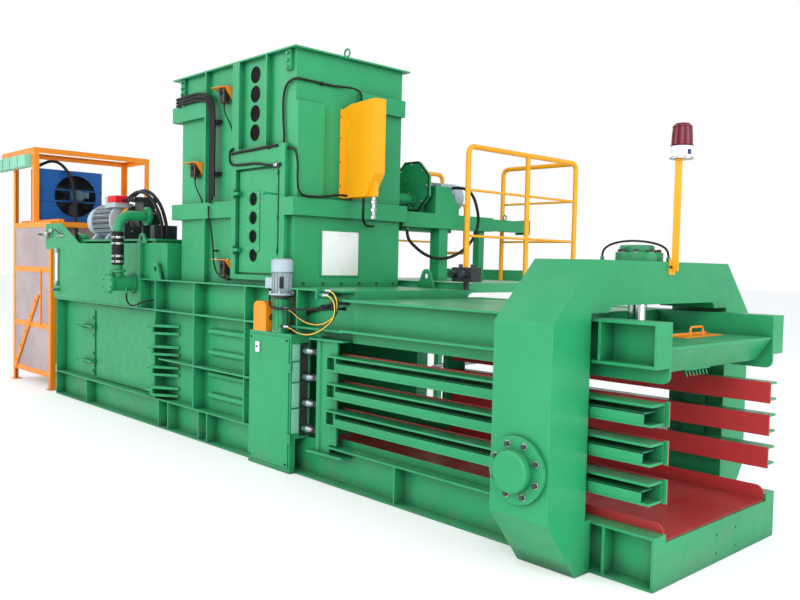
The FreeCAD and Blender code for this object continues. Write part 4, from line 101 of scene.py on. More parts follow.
class NodeGraph:
    """A material's node tree, with short calls for the nodes that the finishes use."""

    SAMPLES = 4
    # Sockets of the Mix node while it mixes colours: its factor, its two colours and its result.
    FACTOR, COLOURS, MIXED = 0, (6, 7), 2

    def __init__(self, name: str) -> None:
        """Start a material.

        Args:
            name: The material's name.
        """
        self.material = bpy.data.materials.new(name)
        self.material.use_nodes = True
        self.tree = self.material.node_tree
        self.tree.nodes.clear()
        self.shader = self.node("BsdfPrincipled")
        self.coords = self.node("TexCoord")
        self.link(self.shader.outputs["BSDF"], self.node("OutputMaterial").inputs["Surface"])

    def node(self, kind: str, values: dict[str | int, Value] | None = None, operation: str = "") -> Node:
        """Add a node to this material, as add_node does."""
        return add_node(self.tree, kind, values, operation)

    def link(self, source: NodeSocket, target: NodeSocket) -> None:
        """Join two sockets."""
        self.tree.links.new(source, target)

    def set(self, **values: Value) -> None:
        """Set inputs of the shader, with an underscore for each space in a name."""
        for key, value in values.items():
            self.shader.inputs[key.replace("_", " ")].default_value = value

    def place(self, stretch: Point) -> NodeSocket:
        """Object coordinates, stretched.

        Args:
            stretch: Scale along each axis.

        Returns:
            The vector socket.
        """
        node = self.node("Mapping", {"Scale": stretch})
        self.link(self.coords.outputs["Object"], node.inputs["Vector"])
        return node.outputs["Vector"]

    def part(self, vector: NodeSocket, axis: str) -> NodeSocket:
        """One coordinate of a vector.

        Args:
            vector: The vector socket.
            axis: Name of the coordinate, such as Z.

        Returns:
            The value socket.
        """
        node = self.node("SeparateXYZ")
        self.link(vector, node.inputs[0])
        return node.outputs[axis]

    def noise(self, scale: float, detail: float = 4.0, stretch: Point = (1, 1, 1),
              rough: float = 0.55) -> NodeSocket:
        """A noise value over the object.

        Args:
            scale: Cells per metre.
            detail: Octaves.
            stretch: Scale along each axis.
            rough: Share of each finer octave.

        Returns:
            The value socket.
        """
        node = self.node("TexNoise", {"Scale": scale, "Detail": detail, "Roughness": rough})
        self.link(self.place(stretch), node.inputs["Vector"])
        return node.outputs["Fac"]

    def ramp(self, value: NodeSocket, low: float, high: float, to_low: float = 0.0,
             to_high: float = 1.0) -> NodeSocket:
        """A value mapped from one range to another, held at its ends.

        Args:
            value: The socket to map.
            low: Start of the source range.
            high: End of the source range.
            to_low: What the start maps to.
            to_high: What the end maps to.

        Returns:
            The mapped value.
        """
        node = self.node("MapRange", {"From Min": low, "From Max": high, "To Min": to_low, "To Max": to_high})
        node.interpolation_type = "SMOOTHSTEP"
        self.link(value, node.inputs["Value"])
        return node.outputs["Result"]

    def times(self, a: NodeSocket, b: NodeSocket) -> NodeSocket:
        """The product of two values.

        Args:
            a: First value.
            b: Second value.

        Returns:
            The value socket.
        """
        node = self.node("Math", operation="MULTIPLY")
        self.link(a, node.inputs[0])
        self.link(b, node.inputs[1])
        return node.outputs[0]

    def mix(self, factor: NodeSocket, a: Colour | NodeSocket, b: Colour | NodeSocket) -> NodeSocket:
        """Two colours mixed by a value.

        Args:
            factor: Share of the second colour.
            a: First colour, or a socket that gives it.
            b: Second colour, or a socket that gives it.

        Returns:
            The colour socket.
        """
        node = self.node("Mix")
        node.data_type = "RGBA"
        self.link(factor, node.inputs[self.FACTOR])
        for number, value in zip(self.COLOURS, (a, b)):
            if isinstance(value, tuple):
                node.inputs[number].default_value = (*value, 1.0)
            else:
                self.link(value, node.inputs[number])
        return node.outputs[self.MIXED]

    def colour(self, source: NodeSocket) -> None:
        """Give the shader its colour."""
        self.link(source, self.shader.inputs["Base Color"])

    def roughness(self, scale: float, low: float, high: float, detail: float = 4.0) -> None:
        """Let the roughness drift between two values.

        Args:
            scale: Cells of the drift per metre.
            low: Smallest roughness.
            high: Largest roughness.
            detail: Octaves of the drift.
        """
        drift = self.ramp(self.noise(scale, detail), 0.3, 0.7, low, high)
        self.link(drift, self.shader.inputs["Roughness"])

    def bump(self, height: NodeSocket, strength: float, distance: float) -> None:
        """Raise the surface by a value.

        Args:
            height: The value.
            strength: Share of the full effect.
            distance: Height in metres at a value of one.
        """
        node = self.node("Bump", {"Strength": strength, "Distance": distance})
        self.link(height, node.inputs["Height"])
        last = self.shader.inputs["Normal"].links
        if last:
            self.link(last[0].from_socket, node.inputs["Normal"])
        self.link(node.outputs["Normal"], self.shader.inputs["Normal"])

    def rounded(self, radius: float) -> NodeSocket:
        """Shade edges as if rounded, and give one along them, where the painted edge highlight goes.

        Args:
            radius: Radius of the rounding in metres.

        Returns:
            One on an edge, zero on flat places.
        """
        soft = self.node("Bevel", {"Radius": radius})
        soft.samples = self.SAMPLES
        turn = self.node("VectorMath", operation="DOT_PRODUCT")
        self.link(soft.outputs["Normal"], turn.inputs[0])
        self.link(self.node("NewGeometry").outputs["Normal"], turn.inputs[1])
        self.link(soft.outputs["Normal"], self.shader.inputs["Normal"])
        return self.ramp(turn.outputs["Value"], 0.86, 0.99, to_low=1.0, to_high=0.0)

    def corners(self, reach: float) -> NodeSocket:
        """One deep in a corner, where the painted shade goes, zero on open places.

        Args:
            reach: How far the corner's effect reaches, in metres.

        Returns:
            The value.
        """
        node = self.node("AmbientOcclusion", {"Distance": reach})
        node.samples = self.SAMPLES
        return self.ramp(node.outputs["AO"], 0.30, 0.92, to_low=1.0, to_high=0.0)

    def upward(self) -> NodeSocket:
        """One on faces that look up, zero on the others."""
        return self.ramp(self.part(self.node("NewGeometry").outputs["Normal"], "Z"), 0.55, 0.95)

    def below(self, low: float, high: float) -> NodeSocket:
        """One below the low height, zero above the high one."""
        return self.ramp(self.part(self.coords.outputs["Object"], "Z"), low, high, to_low=1.0, to_high=0.0)


@dataclass(frozen=True)
class Finish:
    """One finish of the machine: a clean coat with a painted highlight along its edges, scuffs, dust, and
    painted shade in corners over it.

    Attributes:
        name: Name of its material.
        kind: How it is built.
        colour: Main colour, linear.
        rough: Mean roughness.
        dust: Share of dust on faces that look up.
        scuffs: Share of rubbed and scratched places.
        under: Colour under the worn places.
        grain: Height of the finest bump in metres.
        edge: Share of the painted highlight along edges.
        corner_shade: Share of the painted shade in corners, where the coat darkens with ambient occlusion.
    """

    # Colour of dust, and of the soil near the floor.
    DUST: ClassVar[Colour] = (0.40, 0.43, 0.38)
    SOIL: ClassVar[Colour] = (0.16, 0.16, 0.13)
    # Heights between which the soil ends, the rounding of an edge and the reach of the painted corner shade,
    # in metres.
    SOIL_HEIGHTS: ClassVar[tuple[float, float]] = (0.01, 0.30)
    ROUNDING: ClassVar[float] = 0.004
    CORNER: ClassVar[float] = 0.10
    # Strength of the mirror reflection on what isn't metal.
    GLOSS: ClassVar[float] = 0.34
    GLOSSES: ClassVar[dict[Kind, float]] = {Kind.RUBBER: 0.16, Kind.HOLLOW: 0.04}

    name: str
    kind: Kind
    colour: Colour
    rough: float = 0.35
    dust: float = 0.2
    scuffs: float = 0.15
    under: Colour = (0.20, 0.21, 0.20)
    grain: float = 0.0004
    edge: float = 0.34
    corner_shade: float = 0.0

    def tint(self, share: float, lift: float = 0.0) -> Colour:
        """The main colour times a share, lifted, and held below one."""
        return tuple(min(1.0, c * share + lift) for c in self.colour)

    def coat(self, graph: NodeGraph) -> NodeSocket:
        """The clean coat, which drifts in shade over a metre and is faintly mottled.

        Args:
            graph: The material's graph.

        Returns:
            The colour socket.
        """
        drift = graph.ramp(graph.noise(0.8), 0.34, 0.68)
        mottle = graph.ramp(graph.noise(6.0, detail=8.0, rough=0.66), 0.46, 0.70, to_high=0.16)
        shaded = graph.mix(drift, self.tint(0.90), self.tint(1.06, lift=0.003))
        return graph.mix(mottle, shaded, self.tint(0.74))

    def with_edge_highlight(self, graph: NodeGraph, base: NodeSocket) -> NodeSocket:
        """Add a broken painted highlight, a paler tint of the coat, along the edges.

        Args:
            graph: The material's graph.
            base: The colour so far.

        Returns:
            The colour socket.
        """
        broken = graph.ramp(graph.noise(9.0, detail=5.0), 0.25, 0.60, to_low=0.30)
        line = graph.times(graph.rounded(self.ROUNDING), broken)
        # Painted highlight: the coat turns paler along the edges.
        return graph.mix(graph.ramp(line, 0.0, 1.0, to_high=self.edge), base, self.tint(1.5, lift=0.16))

    def with_scuffs(self, graph: NodeGraph, base: NodeSocket) -> NodeSocket:
        """Add rubbed streaks, half through the coat, and small nicks right through it.

        Args:
            graph: The material's graph.
            base: The colour so far.

        Returns:
            The colour socket.
        """
        drawn = graph.noise(16.0, detail=9.0, stretch=(0.25, 1.0, 1.6), rough=0.72)
        fine = graph.noise(90.0, detail=3.0, stretch=(1, 1, 0.6), rough=0.6)
        streak = graph.ramp(drawn, 0.665, 0.73, to_high=self.scuffs)
        nick = graph.ramp(fine, 0.715, 0.75, to_high=self.scuffs * 2.0)
        half = tuple(0.5 * c + 0.5 * u for c, u in zip(self.colour, self.under))
        return graph.mix(nick, graph.mix(streak, base, half), self.under)

    def with_dust(self, graph: NodeGraph, base: NodeSocket) -> NodeSocket:
        """Add dust on faces that look up, and soil near the floor.

        Args:
            graph: The material's graph.
            base: The colour so far.

        Returns:
            The colour socket.
        """
        fallen = graph.ramp(graph.noise(3.2, detail=7.0), 0.30, 0.72, to_high=self.dust)
        splashed = graph.ramp(graph.noise(5.0, detail=6.0), 0.40, 0.72, to_high=0.30)
        settled = graph.times(graph.upward(), fallen)
        soil = graph.times(graph.below(*self.SOIL_HEIGHTS), splashed)
        return graph.mix(soil, graph.mix(settled, base, self.DUST), self.SOIL)

    def with_corner_shade(self, graph: NodeGraph, base: NodeSocket) -> NodeSocket:
        """Add painted shade in corners: the coat darkens where ambient occlusion finds surfaces near.

        Args:
            graph: The material's graph.
            base: The colour so far.

        Returns:
            The colour socket.
        """
        # Painted shade: deep in corners and recesses the coat turns to a dark tint of itself.
        shade_strength = graph.ramp(graph.noise(4.0, detail=5.0), 0.25, 0.65, self.corner_shade * 0.7, self.corner_shade)
        return graph.mix(graph.times(graph.corners(self.CORNER), shade_strength), base, self.tint(0.22))

    def surface(self, graph: NodeGraph) -> None:
        """Set the roughness, the shine and the bumps.

        Args:
            graph: The material's graph.
        """
        spread = 0.06 if self.kind is Kind.RUBBER else 0.08
        graph.roughness(11.0, max(0.05, self.rough - spread), self.rough + spread, detail=6.0)
        if self.kind is Kind.METAL:
            graph.set(Metallic=1.0)
        else:
            graph.set(Specular_IOR_Level=self.GLOSSES.get(self.kind, self.GLOSS))
        if self.kind is Kind.CLEAR:
            graph.set(Transmission_Weight=0.20, IOR=1.46)
            return
        waves = 0.0054 if self.kind is Kind.CAST else 0.0024
        graph.bump(graph.noise(3.0, detail=3.0), strength=0.35, distance=waves)
        graph.bump(graph.noise(38.0, detail=6.0), strength=0.40, distance=self.grain)

    def build(self) -> Material:
        """Make the material.

        Returns:
            The node material.
        """
        graph = NodeGraph(self.name)
        base = self.coat(graph)
        if self.kind in (Kind.PAINT, Kind.CAST, Kind.METAL):
            base = self.with_edge_highlight(graph, base)
        if self.scuffs > 0:
            base = self.with_scuffs(graph, base)
        if self.dust > 0:
            base = self.with_dust(graph, base)
        if self.corner_shade > 0:
            base = self.with_corner_shade(graph, base)
        graph.colour(base)
        self.surface(graph)
        return graph.material


class Paint:
    """The finishes that the machine uses, each made once."""

    # corner_shade below is painted shade: these coats darken in corners and recesses.
    SEA_GREEN = Finish("sea_green_gloss", Kind.PAINT, (0.019, 0.305, 0.118), rough=0.38, dust=0.13,
                       scuffs=0.16, corner_shade=0.85)
    MINT = Finish("pale_mint", Kind.PAINT, (0.24, 0.60, 0.42), rough=0.42, dust=0.06, scuffs=0.10)
    ORANGE = Finish("orange_gloss", Kind.PAINT, (0.92, 0.270, 0.008), rough=0.36, dust=0.06, scuffs=0.10,
                    under=(0.30, 0.16, 0.06))
    AMBER = Finish("amber_gloss", Kind.PAINT, (1.0, 0.400, 0.004), rough=0.36, dust=0.05, scuffs=0.08,
                   under=(0.30, 0.16, 0.06))
    DARK_RED = Finish("worn_dark_red", Kind.PAINT, (0.49, 0.034, 0.036), rough=0.44, dust=0.06, scuffs=0.34,
                      under=(0.42, 0.30, 0.26), corner_shade=0.7)
    BLUE = Finish("cooler_blue", Kind.PAINT, (0.002, 0.090, 0.34), rough=0.36, dust=0.08, scuffs=0.10,
                  corner_shade=0.7)
    LIGHT_GREY = Finish("motor_light_grey", Kind.PAINT, (0.38, 0.47, 0.52), rough=0.40, dust=0.10,
                        scuffs=0.10, corner_shade=0.55)
    WHITE = Finish("white_enamel", Kind.PAINT, (0.86, 0.86, 0.86), rough=0.34, dust=0.03, scuffs=0.04,
                   edge=0.0)
    NAVY = Finish("navy_enamel", Kind.PAINT, (0.003, 0.028, 0.120), rough=0.36, dust=0.0, scuffs=0.0,
                  edge=0.0)
    SLATE = Finish("slate_blue_casting", Kind.CAST, (0.075, 0.135, 0.165), rough=0.42, dust=0.04,
                   scuffs=0.10)
    # Painted shade: dark grey that stands for the shade in vents, between fins and in socket holes.
    SHADE_GREY = Finish("grey_shadow", Kind.CAST, (0.070, 0.072, 0.078), rough=0.55, dust=0.04, scuffs=0.10)
    BLACKENED = Finish("blackened_steel", Kind.CAST, (0.022, 0.024, 0.027), rough=0.36, dust=0.03,
                       scuffs=0.14, under=(0.20, 0.20, 0.20))
    DARK_CAST = Finish("oiled_casting", Kind.CAST, (0.024, 0.032, 0.034), rough=0.36, dust=0.06,
                       scuffs=0.26, under=(0.16, 0.17, 0.17), grain=0.0009)
    CHROME = Finish("hard_chrome", Kind.METAL, (0.66, 0.67, 0.69), rough=0.14, dust=0.0, scuffs=0.06,
                    under=(0.30, 0.30, 0.30), grain=0.0001, edge=0.0)
    STEEL = Finish("bright_steel", Kind.METAL, (0.38, 0.40, 0.42), rough=0.34, dust=0.04, scuffs=0.24,
                   under=(0.16, 0.14, 0.12), grain=0.0003)
    ZINC = Finish("zinc_plated", Kind.METAL, (0.52, 0.53, 0.54), rough=0.32, dust=0.03, scuffs=0.14,
                  under=(0.25, 0.24, 0.22), grain=0.0003)
    GREASY = Finish("greased_steel", Kind.METAL, (0.42, 0.44, 0.50), rough=0.24, dust=0.0, scuffs=0.30,
                    under=(0.07, 0.06, 0.05), grain=0.0006)
    BLACK = Finish("black_rubber", Kind.RUBBER, (0.012, 0.012, 0.014), rough=0.46, dust=0.05, scuffs=0.08,
                   under=(0.07, 0.07, 0.07))
    BLACK_PLASTIC = Finish("black_plastic", Kind.RUBBER, (0.016, 0.018, 0.021), rough=0.38, dust=0.04,
                           scuffs=0.05, under=(0.06, 0.06, 0.06))
    RED_PLASTIC = Finish("red_sleeve", Kind.RUBBER, (0.68, 0.012, 0.022), rough=0.36, dust=0.03,
                         scuffs=0.04, under=(0.3, 0.05, 0.04))
    RED_GLASS = Finish("red_lens", Kind.CLEAR, (0.160, 0.002, 0.016), rough=0.13, dust=0.0, scuffs=0.0)
    # Painted shade: near-black, nearly matt panes that stand for the shade inside behind the windows; also
    # the dark lenses of the light barriers.
    DARK_LENS_AND_SHADE = Finish("dark_window", Kind.HOLLOW, (0.005, 0.0025, 0.0025), rough=0.40, dust=0.0,
                        scuffs=0.0, grain=0.0)

    _made: dict[str, Material] = {}

    @classmethod
    def of(cls, finish: Finish) -> Material:
        """The material of a finish.

        Args:
            finish: The finish.

        Returns:
            Its material, made on first use.
        """
        if finish.name not in cls._made:
            cls._made[finish.name] = finish.build()
        return cls._made[finish.name]


class PerforatedSheet:
    """Thin grey sheet with rows of small round holes."""

    # Metres from hole to hole, and the radius of a hole.
    PITCH = 0.016
    HOLE = 0.0052
    # What of a hole's place is still covered, as such small holes look from afar.
    COVERED = 0.35
    BARE: Colour = (0.40, 0.32, 0.33)
    DUSTY: Colour = (0.50, 0.42, 0.43)

    def build(self) -> Material:
        """Make the material.

        Returns:
            The node material.
        """
        graph = NodeGraph("perforated_sheet")
        graph.colour(graph.mix(graph.ramp(graph.noise(2.2, detail=6.0), 0.3, 0.7), self.BARE, self.DUSTY))
        graph.roughness(14.0, 0.40, 0.62)
        graph.set(Metallic=0.35)
        cells = graph.node("TexVoronoi", {"Scale": 1.0 / self.PITCH, "Randomness": 0.0})
        graph.link(graph.coords.outputs["Object"], cells.inputs["Vector"])
        rim = self.HOLE / self.PITCH
        solid = graph.ramp(cells.outputs["Distance"], rim * 0.9, rim * 1.1, self.COVERED, 1.0)
        graph.link(solid, graph.shader.inputs["Alpha"])
        graph.bump(graph.noise(1.6), strength=0.5, distance=0.01)
        return graph.material


class TreadPlate:
    """Green plate with raised lozenges on its top, and a painted pale reflection in patches on its top faces.
    """

    # Turns of the two rows of waves whose crests cross in the lozenges, in radians.
    SLANTS = (0.6, -0.6)
    WAVES = 9.0
    COAT: Colour = (0.034, 0.36, 0.148)
    PALE_REFLECTION: Colour = (0.40, 0.56, 0.44)
    LOZENGES: Colour = (0.42, 0.60, 0.48)

    def build(self) -> Material:
        """Make the material.

        Returns:
            The node material.
        """
        graph = NodeGraph("green_tread_plate")
        rows = []
        for slant in self.SLANTS:
            wave = graph.node("TexWave", {"Scale": self.WAVES})
            turn = graph.node("Mapping", {"Rotation": (0, 0, slant)})
            graph.link(graph.coords.outputs["Object"], turn.inputs["Vector"])
            graph.link(turn.outputs["Vector"], wave.inputs["Vector"])
            rows.append(graph.ramp(wave.outputs["Fac"], 0.60, 0.85))
        bars = graph.times(graph.times(*rows), graph.upward())
        # Painted reflection: a pale colour in patches on the faces that look up.
        reflection_patches = graph.ramp(graph.noise(1.4, detail=6.0), 0.35, 0.65, to_low=0.10, to_high=0.55)
        worn = graph.times(graph.upward(), reflection_patches)
        graph.colour(graph.mix(bars, graph.mix(worn, self.COAT, self.PALE_REFLECTION), self.LOZENGES))
        graph.roughness(11.0, 0.30, 0.46)
        graph.bump(bars, strength=0.8, distance=0.003)
        return graph.material


class StripedHose:
    """Black hose with a yellow line along it, drawn on the hose's own UV map."""

    RUBBER: Colour = (0.014, 0.014, 0.015)
    YELLOW: Colour = (0.80, 0.52, 0.03)

    def build(self) -> Material:
        """Make the material.

        Returns:
            The node material.
        """
        graph = NodeGraph("striped_air_hose")
        girth = graph.part(graph.coords.outputs["UV"], "Y")
        line = graph.times(graph.ramp(girth, 0.38, 0.40), graph.ramp(girth, 0.56, 0.54))
        worn = graph.ramp(graph.noise(60.0, detail=5.0), 0.25, 0.42)
        graph.colour(graph.mix(graph.times(line, worn), self.RUBBER, self.YELLOW))
        graph.roughness(24.0, 0.34, 0.50)
        graph.bump(graph.noise(220.0, detail=2.0), strength=0.3, distance=0.0004)
        return graph.material


# ---------------------------------------------------------------- mesh helpers
X, Y, Z = Vector((1, 0, 0)), Vector((0, 1, 0)), Vector((0, 0, 1))
# How far a head or a washer reaches into the surface under it, and how far a washer stands up.
SINK = 0.0005
WASHER = 0.003


def new_object(name: str, data: bpy.types.ID) -> bpy.types.Object:
    """Make an object of its data, and link it to the scene.

    Args:
        name: The object's name.
        data: Its mesh, curve, lamp or camera.

    Returns:
        The new object.
    """
    item = bpy.data.objects.new(name, data)
    bpy.context.scene.collection.objects.link(item)
    return item


class Maker:
    """Turns bmeshes into named pieces that ride on a body."""

    # Points nearer than this are one, and edges flatter than this are shaded smooth.
    SAME = 1e-6
    SMOOTH = math.radians(35.0)

    count = 0

    @classmethod
    def add(cls, mesh: BMesh, name: str, finish: Finish, body: str = "machine") -> None:
        """Make a piece of a bmesh, and let it ride.

        Args:
            mesh: The shape, in the machine's frame; it is freed.
            name: The piece's name.
            finish: Its finish.
            body: The body that it rides on.
        """
        bmesh.ops.remove_doubles(mesh, verts=mesh.verts, dist=cls.SAME)
        bmesh.ops.recalc_face_normals(mesh, faces=mesh.faces)
        for face in mesh.faces:
            face.smooth = True
        for edge in mesh.edges:
            edge.smooth = len(edge.link_faces) == 2 and edge.calc_face_angle(math.pi) < cls.SMOOTH
        data = bpy.data.meshes.new(name)
        mesh.to_mesh(data)
        mesh.free()
        data.materials.append(Paint.of(finish))
        item = new_object(name, data)
        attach(item, body)
        cls.count += 1
        log.info("piece %s on %s", name, body)


def blanks(number: int) -> list[BMesh]:
    """Empty bmeshes, one for each piece to come."""
    return [bmesh.new() for _ in range(number)]


def turn_to(axis: Vector) -> Matrix:
    """The rotation that takes +Z to an axis.

    Args:
        axis: The direction.

    Returns:
        A 4x4 rotation.
    """
    return Z.rotation_difference(axis.normalized()).to_matrix().to_4x4()


def turned(way: Vector, angle: float, axis: str) -> Vector:
    """A direction turned by an angle in degrees round the machine's axis of that name."""
    return Matrix.Rotation(math.radians(angle), 4, axis) @ way


def edges_of(verts: list[BMVert]) -> list[BMEdge]:
    """The edges that meet in some vertices, each once."""
    return list({edge for vert in verts for edge in vert.link_edges})


def add_block(mesh: BMesh, middle: Vector, turn: Matrix, size: Point, round_by: float = 0.0,
              steps: int = 2) -> None:
    """Add a block that is turned, with its edges rounded if wanted.

    Args:
        mesh: The bmesh to add to.
        middle: Its middle.
        turn: Its 4x4 rotation.
        size: Its size along its own axes.
        round_by: Radius of the edges.
        steps: Segments of each rounded edge.
    """
    place = Matrix.Translation(middle) @ turn @ Matrix.Diagonal((*size, 1))
    made = bmesh.ops.create_cube(mesh, size=1.0, matrix=place)
    if round_by > 0:
        bmesh.ops.bevel(mesh, geom=edges_of(made["verts"]), offset=round_by, affect="EDGES", segments=steps,
                        profile=0.5, material=-1)


def add_box(mesh: BMesh, low: Point, high: Point, round_by: float = 0.0, steps: int = 2) -> None:
    """Add a block along the machine's axes, with its edges rounded if wanted.

    Args:
        mesh: The bmesh to add to.
        low: Lowest corner.
        high: Highest corner.
        round_by: Radius of the edges.
        steps: Segments of each rounded edge.
    """
    size = tuple(b - a for a, b in zip(low, high))
    middle = Vector([(a + b) / 2 for a, b in zip(low, high)])
    add_block(mesh, middle, Matrix.Identity(4), size, round_by, steps)


def add_rod(mesh: BMesh, start: Point, axis: Vector, length: float, radius: float,
            end_radius: float | None = None, sides: int = 24, soften: float = 0.0) -> None:
    """Add a round bar or a cone.

    Args:
        mesh: The bmesh to add to.
        start: Centre of its first end.
        axis: Its direction.
        length: Its length.
        radius: Radius at the start.
        end_radius: Radius at the far end, the same if left out.
        sides: Faces round it.
        soften: Bevel of its two rims.
    """
    way = axis.normalized()
    place = Matrix.Translation(Vector(start) + way * length / 2) @ turn_to(way)
    made = bmesh.ops.create_cone(mesh, cap_ends=True, segments=sides, radius1=radius,
                                 radius2=radius if end_radius is None else end_radius, depth=length,
                                 matrix=place)
    if soften > 0:
        rims = [edge for edge in edges_of(made["verts"])
                if len(edge.link_faces) == 2 and any(len(face.verts) > 4 for face in edge.link_faces)]
        bmesh.ops.bevel(mesh, geom=rims, offset=soften, affect="EDGES", segments=2, profile=0.5, material=-1)


def spin_round(mesh: BMesh, verts: list[BMVert], edges: list[BMEdge],
               centre: Point, axis: Vector, steps: int) -> None:
    """Sweep an outline once round an axis, and close it.

    Args:
        mesh: The bmesh that holds the outline.
        verts: The outline's vertices.
        edges: The outline's edges.
        centre: A point of the axis.
        axis: The axis, one long.
        steps: Steps round the axis.
    """
    bmesh.ops.spin(mesh, geom=[*verts, *edges], cent=centre, axis=axis, dvec=(0, 0, 0), angle=math.tau,
                   steps=steps, use_merge=True, use_duplicate=False)


def add_turned(mesh: BMesh, profile: list[tuple[float, float]], start: Point, axis: Vector,
               sides: int = 32) -> None:
    """Add a turned shape, closed where its profile meets the axis.

    Args:
        mesh: The bmesh to add to.
        profile: Points as (distance along the axis, radius).
        start: Where the distance is zero.
        axis: The axis.
        sides: Steps round the axis.
    """
    place = Matrix.Translation(start) @ turn_to(axis)
    verts = [mesh.verts.new(place @ Vector((radius, 0, along))) for along, radius in profile]
    edges = [mesh.edges.new(pair) for pair in zip(verts, verts[1:])]
    spin_round(mesh, verts, edges, start, axis.normalized(), sides)


def add_hex(mesh: BMesh, seat: Point, axis: Vector, across: float, height: float,
            washer: float = 0.0) -> None:
    """Add a hexagon bolt head with its chamfered top, on a washer if wanted.

    Args:
        mesh: The bmesh to add to.
        seat: Centre of the surface that it sits on.
        axis: Direction away from the surface.
        across: Size across flats.
        height: Height of the head.
        washer: Radius of the washer, or none.
    """
    way = axis.normalized()
    base = Vector(seat)
    if washer > 0:
        add_rod(mesh, tuple(base - way * SINK), way, WASHER + SINK, washer, sides=20)
        base = base + way * WASHER
    place = Matrix.Translation(base + way * (height / 2 - SINK)) @ turn_to(way)
    corner = across / math.sqrt(3)
    made = bmesh.ops.create_cone(mesh, cap_ends=True, segments=6, radius1=corner, radius2=corner,
                                 depth=height, matrix=place)
    top = [f for f in {f for v in made["verts"] for f in v.link_faces} if f.normal.dot(way) > 0.9]
    bmesh.ops.inset_region(mesh, faces=top, thickness=across * 0.09, depth=across * 0.05)


def add_screw(mesh: BMesh, seat: Point, axis: Vector, radius: float, height: float = 0.003) -> None:
    """Add a low round screw head.

    Args:
        mesh: The bmesh to add to.
        seat: Centre of the surface that it sits on.
        axis: Direction away from the surface.
        radius: Radius of the head.
        height: Height of the head.
    """
    way = axis.normalized()
    add_rod(mesh, tuple(Vector(seat) - way * SINK), way, height + SINK, radius, radius * 0.72, sides=16)


def add_ring(mesh: BMesh, centre: Point, axis: Vector, radius: float, wire: float,
             steps: int = 40, sides: int = 8) -> None:
    """Add a ring of round wire.

    Args:
        mesh: The bmesh to add to.
        centre: Its centre.
        axis: Its axis.
        radius: Radius of the wire's middle line.
        wire: Radius of the wire.
        steps: Faces round the ring.
        sides: Faces round the wire.
    """
    way = axis.normalized()
    out = way.orthogonal().normalized()
    place = Matrix.Translation(Vector(centre) + out * radius) @ turn_to(way.cross(out))
    made = bmesh.ops.create_circle(mesh, cap_ends=False, segments=sides, radius=wire, matrix=place)
    spin_round(mesh, made["verts"], edges_of(made["verts"]), centre, way, steps)


def add_band(mesh: BMesh, start: Point, axis: Vector, length: float, inner: float, outer: float,
             sides: int = 40) -> None:
    """Add a flat band round a pipe.

    Args:
        mesh: The bmesh to add to.
        start: Centre of its first end.
        axis: Axis of the pipe.
        length: Width of the band.
        inner: Inner radius.
        outer: Outer radius.
        sides: Steps round it.
    """
    way = axis.normalized()
    out = way.orthogonal().normalized()
    corners = [(0.0, inner), (0.0, outer), (length, outer), (length, inner)]
    verts = [mesh.verts.new(Vector(start) + way * along + out * radius) for along, radius in corners]
    edges = [mesh.edges.new(pair) for pair in zip(verts, verts[1:] + verts[:1])]
    spin_round(mesh, verts, edges, start, way, sides)


def smooth_line(points: list[Point], step: float) -> list[Vector]:
    """Places along the smooth line that points lead, which is the line of a free hose's spline.

    Args:
        points: Points that lead it, at least three.
        step: Distance from place to place.

    Returns:
        The places, from the first point to the last.
    """
    leads = [Vector(p) for p in points]
    middles = [leads[0]] + [(a + b) / 2 for a, b in zip(leads[1:-2], leads[2:-1])] + [leads[-1]]
    line = []
    for first, lead, last in zip(middles, leads[1:-1], middles[1:]):
        number = max(2, round(((lead - first).length + (last - lead).length) / step))
        for i in range(number):
            t = i / number
            line.append(first * (1 - t) ** 2 + lead * (2 * t * (1 - t)) + last * t ** 2)
    return line + [leads[-1]]


def add_wire(mesh: BMesh, points: list[Point], radius: float, rib: float = 0.0,
             sides: int = 10, step: float = 0.009) -> None:
    """Add a cable that is led by points, by drawing a ring of edges along its line.

    Args:
        mesh: The bmesh to add to.
        points: Points that lead it, at least three.
        radius: Its radius.
        rib: How far every second ring stands out, for a corrugated sleeve.
        sides: Steps round it.
        step: Distance from ring to ring.
    """
    line = smooth_line(points, step)
    side = (line[1] - line[0]).orthogonal().normalized()
    verts = bmesh.ops.create_circle(mesh, cap_ends=True, segments=sides, radius=radius)["verts"]
    edges = edges_of(verts)
    last_place = Matrix.Identity(4)
    for i, here in enumerate(line):
        way = (line[min(i + 1, len(line) - 1)] - line[max(i - 1, 0)]).normalized()
        side = (side - way * side.dot(way)).normalized()
        wide = 1.0 + (rib / radius if i % 2 else 0.0)
        place = (Matrix.Translation(here) @ Matrix((side, way.cross(side), way)).transposed().to_4x4()
                 @ Matrix.Diagonal((wide, wide, 1, 1)))
        if i:
            grown = bmesh.ops.extrude_edge_only(mesh, edges=edges)["geom"]
            verts = [item for item in grown if isinstance(item, BMVert)]
            edges = [item for item in grown if isinstance(item, BMEdge)
                     and all(vert in verts for vert in item.verts)]
        bmesh.ops.transform(mesh, matrix=place @ last_place.inverted(), verts=verts)
        last_place = place
    bmesh.ops.edgeloop_fill(mesh, edges=edges)


def around(centre: Point, axis: Vector, radius: float, number: int, first: float = 0.0) -> list[Point]:
    """Points of a bolt circle.

    Args:
        centre: Its centre.
        axis: Its axis.
        radius: Its radius.
        number: How many points.
        first: Angle of the first one in degrees.

    Returns:
        The points.
    """
    turn = turn_to(axis)
    places = []
    for i in range(number):
        angle = math.radians(first + 360.0 * i / number)
        spoke = Vector((math.cos(angle), math.sin(angle), 0)) * radius
        places.append(tuple(Vector(centre) + turn @ spoke))
    return places


